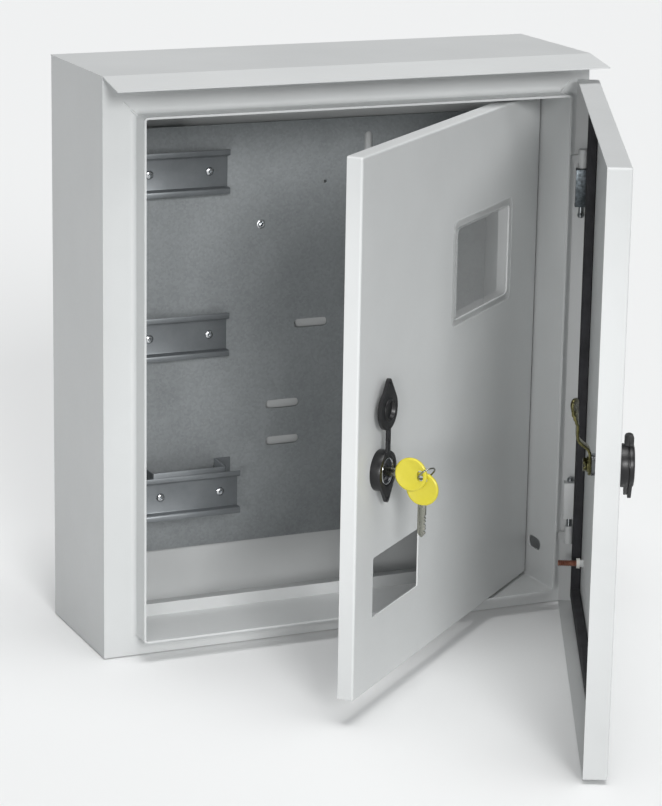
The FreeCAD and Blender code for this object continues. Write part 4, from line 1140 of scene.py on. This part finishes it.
@dataclass
class LockCams:
    """Pressed cams on the locks' inner ends, each held by a slotted hexagon bolt and a washer."""

    width: float = 11.0
    sheet: float = 2.0
    edge: float = 0.35
    middle: float = -18.2
    heel: float = -7.5
    end: float = 4.6
    fold: float = 3.2
    outer_path: tuple[Ring, ...] = ((10.5, -18.2), (17.5, -27.2), (25.0, -27.2), (33.0, -27.2),
                                    (46.0, -27.2))
    twist_above: tuple[float, ...] = (29.5, 32.0, 34.5, 40.0)
    twist_step: float = 6.5
    inner_length: float = 35.5
    washer: float = 5.5
    washer_bore: float = 1.5
    washer_low: float = -20.3
    washer_high: float = -19.2
    washer_edge: tuple[Ring, ...] = ((-0.8, 0.0), (-0.2, 0.25), (0.0, 0.6))
    bolt: float = 5.0
    bolt_low: float = -22.7
    bolt_break: float = 0.4
    slot_reach: float = 8.0
    slot_half: float = 0.7
    slot_depth: float = 1.2

    def build(self) -> list[Piece]:
        """Bends both cams and models one bolt for the two.

        Returns:
            Both cams and both bolts.
        """
        start = (self.heel, self.middle)
        outer = Bench.strip("outer_lock_strip", self.width, (start, *self.outer_path), self.fold,
                            self.end)
        inner = Bench.strip("inner_lock_strip", self.width,
                            (start, (self.inner_length, self.middle)), self.fold, self.end)
        self._twist(outer)
        bolt = self._bolt()
        inner_bolt = Bench.copy(bolt, "inner_strip_bolt", INNER_LOCK.frame())
        for strip, lock in ((outer, OUTER_LOCK), (inner, INNER_LOCK)):
            Bench.thicken(strip, self.sheet, self.edge)
            Bench.settle(strip, lock.frame())
        Bench.settle(bolt, OUTER_LOCK.frame())
        return [
            Piece(outer, Body.OUTER_CORE, SHADED_YELLOW_ZINC, ("outer_lock_cam",)),
            Piece(inner, Body.INNER_CORE, SHADED_YELLOW_ZINC, ("inner_lock_cam",)),
            Piece(bolt, Body.OUTER_CORE, SHADED_YELLOW_ZINC, ("outer_cam_bolt",)),
            Piece(inner_bolt, Body.INNER_CORE, SHADED_YELLOW_ZINC, ("inner_cam_bolt",)),
        ]

    def _twist(self, strip: Model) -> None:
        """Turns the strip's working end step by step about its hinge-side edge.

        Args:
            strip: The outer cam's middle surface.
        """
        axis = (self.width / 2 * MM, 0.0, self.outer_path[-1][1] * MM)
        for height in self.twist_above:
            Bench.pick_points(strip, lambda point: point.y > height)
            bpy.ops.transform.rotate(value=math.radians(self.twist_step), orient_axis="Y",
                                     orient_type="GLOBAL", center_override=axis)
            Bench.clear()

    def _bolt(self) -> Model:
        """A hexagon head with a screwdriver slot, on a dished washer.

        Returns:
            The bolt and its washer in the lock's frame.
        """
        low, high, rim = self.washer_low, self.washer_high, self.washer
        head = Bench.disc("bolt_head", self.bolt, (0, 0, (self.bolt_low + low) / 2),
                          low - self.bolt_low, sides=6)
        slot = Bench.block("bolt_slot", (-self.slot_reach, -self.slot_half, self.bolt_low - OVER),
                           (self.slot_reach, self.slot_half, self.bolt_low + self.slot_depth))
        Bench.combine(head, slot, Side.CUT)
        Bench.bevel(head, self.bolt_break, segments=3, angle=25)
        washer = Bench.lathe("bolt_washer", [
            (self.washer_bore, low), *rings_at(rim, low, self.washer_edge), (rim, high),
            (self.washer_bore, high), (self.washer_bore, low),
        ], sides=40)
        return Bench.merge("outer_strip_bolt", [head, washer])


@dataclass
class FoldedRails:
    """Hat-shaped mounting rails, and the bracket under the lowest one, folded from strip."""

    centre_x: float = -98.4
    length: float = 80.2
    width: float = 35.0
    channel: float = 27.0
    depth: float = 7.5
    sheet: float = 1.0
    rows: tuple[tuple[str, float, float], ...] = (
        ("top", 134.3, -7.0), ("middle", 3.7, -7.0), ("lower", -118.5, -33.0))
    bracket_width: float = 62.5
    bracket_height: float = 39.5
    bracket_reach: float = 26.0
    bracket_foot: float = 13.0
    bracket_sheet: float = 1.2
    edge: float = 0.22

    def build(self) -> list[Piece]:
        """Folds one rail and copies it to each height, then folds the bracket.

        Returns:
            The rails and the bracket.
        """
        web = self.channel - self.sheet
        model = Bench.hat("rail_model", web, self.depth - self.sheet, (self.width - web) / 2,
                          self.length)
        Bench.thicken(model, self.sheet, self.edge)
        pieces = []
        for tag, height, seat in self.rows:
            place = shift((self.centre_x, seat - self.sheet / 2, height))
            rail = Bench.copy(model, f"{tag}_hat_rail", place)
            pieces.append(Piece(rail, Body.CABINET, RAIL_ZINC, (f"{tag}_rail",)))
        bpy.data.objects.remove(model)
        sheet = self.bracket_sheet
        bracket = Bench.hat("hat_bracket", self.bracket_width - sheet, self.bracket_reach - sheet,
                            self.bracket_foot + sheet / 2, self.bracket_height)
        Bench.thicken(bracket, sheet, self.edge)
        upright = Matrix(((0, 0, 1, 0), (0, -1, 0, 0), (1, 0, 0, 0), (0, 0, 0, 1)))
        _, height, seat = self.rows[-1]
        Bench.settle(bracket, shift((self.centre_x, seat + sheet / 2, height)) @ upright)
        pieces.append(Piece(bracket, Body.CABINET, RAIL_ZINC, ("rail_bracket",)))
        return pieces


@dataclass
class LipSeams:
    """Ground weld beads across the gutter at the two upper corners of the lip."""

    half_width: float = 175.0
    high: float = 201.5
    front: float = -117.0
    gutter: float = 4.0
    size: float = 0.75
    length: float = 7.5
    tip: float = 0.15
    first_ripples: tuple[Ring, ...] = ((0.7, 0.4), (1.0, 1.2), (0.92, 2.1), (1.0, 3.1))
    last_ripples: tuple[Ring, ...] = ((0.92, 3.1), (1.0, 2.1), (0.9, 1.2), (0.65, 0.4))
    mitre_sunk: float = 0.25

    def build(self) -> list[Piece]:
        """Models one bead and copies it twice to each corner.

        Returns:
            All the beads as one group.
        """
        half, size = self.length / 2, self.size
        bead = Bench.lathe("seam_bead", [
            (self.tip, -half), *((size * share, run - half) for share, run in self.first_ripples),
            *((size * share, half - run) for share, run in self.last_ripples), (self.tip, half),
        ], sides=20)
        sunk = self.gutter * (1 - math.sqrt(0.5))
        reach = self.gutter + half * math.sqrt(0.5)
        copies = []
        for across in (-1, 1):
            corner = Vector((across * self.half_width, self.front, self.high))
            for name, step, along in (
                    ("seam", (across * sunk, -sunk, sunk), (across, 1.0, 1.0)),
                    ("mitre", (across * reach, self.mitre_sunk, reach), (across, 0.0, 1.0))):
                run = Vector(along).to_track_quat("Z", "Y").to_matrix().to_4x4()
                copies.append(Bench.copy(bead, name, shift(corner + Vector(step)) @ run))
        bpy.data.objects.remove(bead)
        return [Piece(Bench.merge("lip_weld_seams", copies), Body.CABINET, POWDER_COAT)]


@dataclass
class RailRivets:
    """Blind rivets with a domed head and a pulled mandrel."""

    centre_x: float = -98.4
    pitch: float = 50.2
    rows: tuple[Spot, ...] = ((134.3, -8.0, 2.5), (3.7, -8.0, 2.5), (-118.5, -34.0, 2.2))
    blind_end: tuple[Ring, ...] = ((0.6, -2.0), (2.2, -2.0), (2.5, -1.6), (2.5, 0.0), (2.0, 0.0))
    head: tuple[Ring, ...] = (
        (2.0, 0.0), (3.4, 0.0), (3.5, 0.25), (3.35, 0.65), (2.9, 1.05), (2.2, 1.38), (1.55, 1.56),
        (1.3, 1.6), (1.15, 1.45), (1.1, -0.6), (0.5, -0.7))

    def build(self) -> list[Piece]:
        """Models one rivet for each grip and copies it along its row.

        Returns:
            All rivets as one group.
        """
        copies = []
        for row, (height, seat, grip) in enumerate(self.rows):
            rings = [*rings_at(0.0, -grip, self.blind_end), *self.head]
            rivet = Bench.lathe(f"rivet_row_{row}", rings, sides=32)
            for sign in (-1, 1):
                place = shift((self.centre_x + sign * self.pitch / 2, seat, height)) @ FACE_OUT
                copies.append(Bench.copy(rivet, "rivet", place))
            bpy.data.objects.remove(rivet)
        rivets = Bench.merge("blind_rivets", copies)
        return [Piece(rivets, Body.CABINET, RIVET_ALUMINIUM, ("rail_rivets",))]


@dataclass
class ThreadInsert:
    """Blind threaded insert set in the mounting plate."""

    at: Spot = (-29.1, -7.0, 89.4)
    rim: float = 3.6
    rise: float = 0.9
    shank: float = 2.2
    bore: float = 1.6
    depth: float = 4.6
    floor: float = 0.5
    pip: float = 0.3
    rim_edge: tuple[Ring, ...] = ((0.0, 0.4), (-0.5, 0.85))
    mouth: tuple[Ring, ...] = ((0.7, 1.0), (0.2, 0.8), (0.0, 0.4))

    def build(self) -> list[Piece]:
        """Turns the flange, the shank and the blind bore.

        Returns:
            The insert.
        """
        low, floor = -self.depth, self.floor - self.depth
        insert = Bench.lathe("plate_thread_insert", [
            (self.pip, low), (self.shank, low), (self.shank, 0.0), (self.rim, 0.0),
            *((self.rim + out, self.rise * share) for out, share in self.rim_edge),
            *((self.bore + out, self.rise * share) for out, share in self.mouth),
            (self.bore, floor), (self.pip, floor),
        ], sides=32)
        Bench.settle(insert, shift(self.at) @ FACE_OUT)
        return [Piece(insert, Body.CABINET, RIVET_ALUMINIUM)]


@dataclass
class EarthStud:
    """Copper stud welded inside the outer door; its thread is drawn coarse, so that it shows."""

    at: Spot = (145.0, -141.0, -165.0)
    size: float = 2.5
    length: float = 20.0
    plain: float = 5.6
    pitch: float = 1.5
    thread_depth: float = 0.5
    lead: float = 0.8
    tip: tuple[float, float] = (1.9, 0.8)
    collar_rise: float = 2.7
    collar_play: float = 0.02
    collar_foot: tuple[Ring, ...] = ((1.1, 0.0), (0.8, 0.5), (0.5, 1.2))
    collar_wall: float = 0.4

    def build(self) -> list[Piece]:
        """Steps the rod in and out along its length as a thread, and turns the weld's collar.

        Returns:
            The stud and the collar.
        """
        size, rise = self.size, self.collar_rise
        height = self.plain
        rings = [(size, 0.0), (size, height)]
        while height + self.pitch < self.length - self.lead:
            rings.append((size - self.thread_depth, height + self.pitch / 2))
            height += self.pitch
            rings.append((size, height))
        rings += [(radius, self.length) for radius in self.tip]
        stud = Bench.lathe("threaded_stud", rings, sides=32)
        bore = size + self.collar_play
        collar = Bench.lathe("stud_weld_collar", [
            (bore, 0.0), *rings_at(size, 0.0, self.collar_foot), (size + self.collar_wall, rise),
            (bore, rise), (bore, 0.0),
        ], sides=32)
        for model in (stud, collar):
            Bench.settle(model, OUTER_SWING.stands() @ shift(self.at) @ FACE_OUT.inverted())
        return [Piece(stud, Body.OUTER_DOOR, COPPER_PLATE, ("earth_stud",)),
                Piece(collar, Body.OUTER_DOOR, POWDER_COAT)]


@dataclass
class DoorHinges:
    """Weld-on hinges of the outer door: barrels on the lip, bent leaves on the door's flange."""

    barrel: float = 3.3
    bore: float = 2.05
    chamfer: float = 0.5
    tail_from: float = 175.0
    tail_half: float = 3.0
    tail_thick: float = 1.4
    barrels: tuple[tuple[str, float, float], ...] = (
        ("upper", 142.8, 157.8), ("lower", -162.8, -147.8))
    # Both leaves are the same zinc part. The upper one is darkened as a painted reflection of the
    # dark gasket it faces. The lower one wears the light body paint as a painted reflection of the
    # bright surroundings it faces.
    leaves: tuple[tuple[str, float, float, Finish], ...] = (
        ("upper", 112.8, 142.4, DARK_REFLECTION_ZINC), ("lower", -140.7, -111.1, POWDER_COAT))
    leaf_back: float = 184.1
    leaf_reach: float = 193.5
    leaf_front: float = -137.0
    leaf_rear: float = -126.0
    leaf_sheet: float = 1.5
    edge: float = 0.35

    def build(self) -> list[Piece]:
        """Turns the barrels and bends the leaves.

        Returns:
            Both barrels and both leaves.
        """
        pieces = []
        for tag, low, high in self.barrels:
            barrel = self._barrel(tag, low, high)
            pieces.append(Piece(barrel, Body.CABINET, POWDER_COAT, (f"{tag}_hinge_knuckle",)))
        for tag, low, high, finish in self.leaves:
            leaf = Bench.settle(self._leaf(tag, low, high), OUTER_SWING.stands())
            pieces.append(Piece(leaf, Body.OUTER_DOOR, finish, (f"{tag}_hinge_leaf",)))
        return pieces

    def _barrel(self, tag: str, low: float, high: float) -> Model:
        """A bored barrel with broken ends, and a small tail that is welded to the lip.

        Args:
            tag: Upper or lower.
            low: Lower end.
            high: Upper end.

        Returns:
            The barrel where it stands.
        """
        size, bore, cut, half = self.barrel, self.bore, self.chamfer, (high - low) / 2
        barrel = Bench.lathe(f"{tag}_hinge_barrel", [
            (bore, -half), (size - cut, -half), (size, cut - half), (size, half - cut),
            (size - cut, half), (bore, half), (bore, -half),
        ], sides=40)
        axis = (OUTER_SWING.axis_x, OUTER_SWING.axis_y, (low + high) / 2)
        tail = Bench.block("hinge_tail", (self.tail_from - axis[0], 0.0, -self.tail_half),
                           (-bore - cut, self.tail_thick, self.tail_half))
        Bench.combine(barrel, tail, Side.JOIN)
        return Bench.settle(barrel, shift(axis))

    def _leaf(self, tag: str, low: float, high: float) -> Model:
        """A leaf bent to a channel, its two lugs bored for the pin.

        Args:
            tag: Upper or lower.
            low: Lower end.
            high: Upper end.

        Returns:
            The leaf on the shut door.
        """
        sheet = self.leaf_sheet
        leaf = Bench.block(f"{tag}_bent_leaf", (self.leaf_back, self.leaf_front, low),
                           (self.leaf_reach, self.leaf_rear, high))
        hollow = Bench.block(
            "leaf_hollow", (self.leaf_back + sheet, self.leaf_front - OVER, low + sheet),
            (self.leaf_reach + OVER, self.leaf_rear + OVER, high - sheet))
        Bench.combine(leaf, hollow, Side.CUT)
        axis = (OUTER_SWING.axis_x, OUTER_SWING.axis_y, (low + high) / 2)
        hole = Bench.disc("leaf_hole", self.bore, axis, high - low + 2 * OVER, sides=32)
        Bench.combine(leaf, hole, Side.CUT)
        return Bench.bevel(leaf, self.edge, segments=3, angle=50)


@dataclass
class Cabinet:
    """Finishes of the solids that keep their own shape."""

    finishes: dict[str, Finish] = field(
        default_factory=lambda: {finish.slot: finish for finish in FINISHES})

    def dress(self, frame: dict[str, Any]) -> None:
        """Gives every solid the finish of its slot.
        """
        slots = {part["node"]: part["material_slot"] for part in frame["record"]["subparts"]}
        for node, solid in frame["nodes"].items():
            finish = self.finishes[slots[node]]
            for material_slot in solid.material_slots:
                material_slot.material = finish.material()
            LOG.info("%s wears %s", node, finish.name)


@dataclass
class Studio:
    """White floor, soft light from the front and above, and a camera at the photograph's view.

    Places and sizes are in metres here, and turns, spreads and cones in degrees.
    """

    floor_height: float = -0.216
    floor_size: float = 40.0
    floor_glow: float = 0.04
    glow_tint: str = "#FFFFFF"
    paper: str = "#E2E3E3"
    paper_roughness: float = 0.95
    paper_gloss: float = 0.1
    eye: Spot = (-0.91398537, -2.13518917, 0.55033209)
    turn: Spot = (75.26093219, -0.93473991, -23.76501557)
    lens_mm: float = 132.70290846
    sensor_mm: float = 36.0
    front_from: Spot = (-0.13, -0.92, 0.36)
    front_power: float = 1.85
    front_spread: float = 18.0
    top_from: Spot = (0.02, -0.12, 0.98)
    top_power: float = 2.15
    top_spread: float = 40.0
    lamp_distance: float = 3.0
    fill_spot: Spot = (-1.2, -1.92, 0.3)
    fill_aim: Spot = (0.08, -0.12, -0.01)
    fill_power: float = 75.0
    fill_cone: float = 16.0
    fill_size: float = 0.15
    surround: float = 0.23
    surround_tint: str = "#F7F8FA"

    def build(self) -> None:
        """Sets the floor, the lights and the camera."""
        bpy.context.scene.view_settings.view_transform = "Standard"
        self._floor()
        self._world()
        self._lamp("front_light", self.front_from, self.front_power, self.front_spread)
        self._lamp("top_light", self.top_from, self.top_power, self.top_spread)
        self._fill()
        view = bpy.data.cameras.new("photo_view")
        view.lens = self.lens_mm
        view.sensor_width = self.sensor_mm
        turn = [math.radians(angle) for angle in self.turn]
        bpy.context.scene.camera = self._hang(view, self.eye, turn)

    def _floor(self) -> None:
        """A wide white floor just under the box, lit from within as a light table is."""
        Bench.clear()
        bpy.ops.mesh.primitive_plane_add(size=self.floor_size, location=(0, 0, self.floor_height))
        floor = Bench.named("studio_floor")
        paper = bpy.data.materials.new("white_studio_paper")
        paper.use_nodes = True
        shader = next(n for n in paper.node_tree.nodes if n.type == "BSDF_PRINCIPLED")
        for socket, value in (
                ("Base Color", linear(self.paper)), ("Roughness", self.paper_roughness),
                ("Specular IOR Level", self.paper_gloss),
                ("Emission Color", linear(self.glow_tint)),
                ("Emission Strength", self.floor_glow)):
            shader.inputs[socket].default_value = value
        floor.data.materials.append(paper)

    def _world(self) -> None:
        """An even pale surround."""
        world = bpy.data.worlds.new("studio_surround")
        bpy.context.scene.world = world
        world.use_nodes = True
        back = next(n for n in world.node_tree.nodes if n.type == "BACKGROUND")
        back.inputs["Color"].default_value = linear(self.surround_tint)
        back.inputs["Strength"].default_value = self.surround

    def _lamp(self, name: str, source: Spot, power: float, spread: float) -> None:
        """A large far-off light from a direction, softened over an angle.

        Args:
            name: The lamp's name.
            source: The direction that its light comes from.
            power: Its strength.
            spread: The angle that it is seen under.
        """
        lamp = bpy.data.lights.new(name, "SUN")
        lamp.energy = power
        lamp.angle = math.radians(spread)
        turn = (-Vector(source)).to_track_quat("-Z", "Y").to_euler()
        self._hang(lamp, Vector(source) * self.lamp_distance, turn)

    def _fill(self) -> None:
        """A small soft lamp that opens up the corner behind the doors."""
        lamp = bpy.data.lights.new("fill_light", "SPOT")
        lamp.energy = self.fill_power
        lamp.spot_size = math.radians(self.fill_cone)
        lamp.spot_blend = 1.0
        lamp.shadow_soft_size = self.fill_size
        run = Vector(self.fill_aim) - Vector(self.fill_spot)
        self._hang(lamp, self.fill_spot, run.to_track_quat("-Z", "Y").to_euler())

    @staticmethod
    def _hang(data: Any, spot: Sequence[float], turn: Sequence[float]) -> Model:
        """Hangs a lamp or a camera in the scene.

        Args:
            data: The lamp or the camera.
            spot: Where it hangs.
            turn: Its Euler angles in radians.

        Returns:
            Its object.
        """
        item = bpy.data.objects.new(data.name, data)
        item.location = spot
        item.rotation_euler = turn
        bpy.context.scene.collection.objects.link(item)
        return item


def main() -> None:
    """Builds the looks of the meter box, piece by piece."""
    logging.basicConfig(level=logging.INFO, format="%(name)s: %(message)s")
    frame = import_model()
    Bench.clear()
    Cabinet().dress(frame)
    for assembly in (FoamSeal(), MeterWindow(), OUTER_LOCK, INNER_LOCK, LockCams(), DoorKeys(),
                     FoldedRails(), RailRivets(), ThreadInsert(), EarthStud(), DoorHinges(),
                     LipSeams()):
        for piece in assembly.build():
            piece.hand_over()
    Studio().build()


if __name__ == "__main__":
    main()
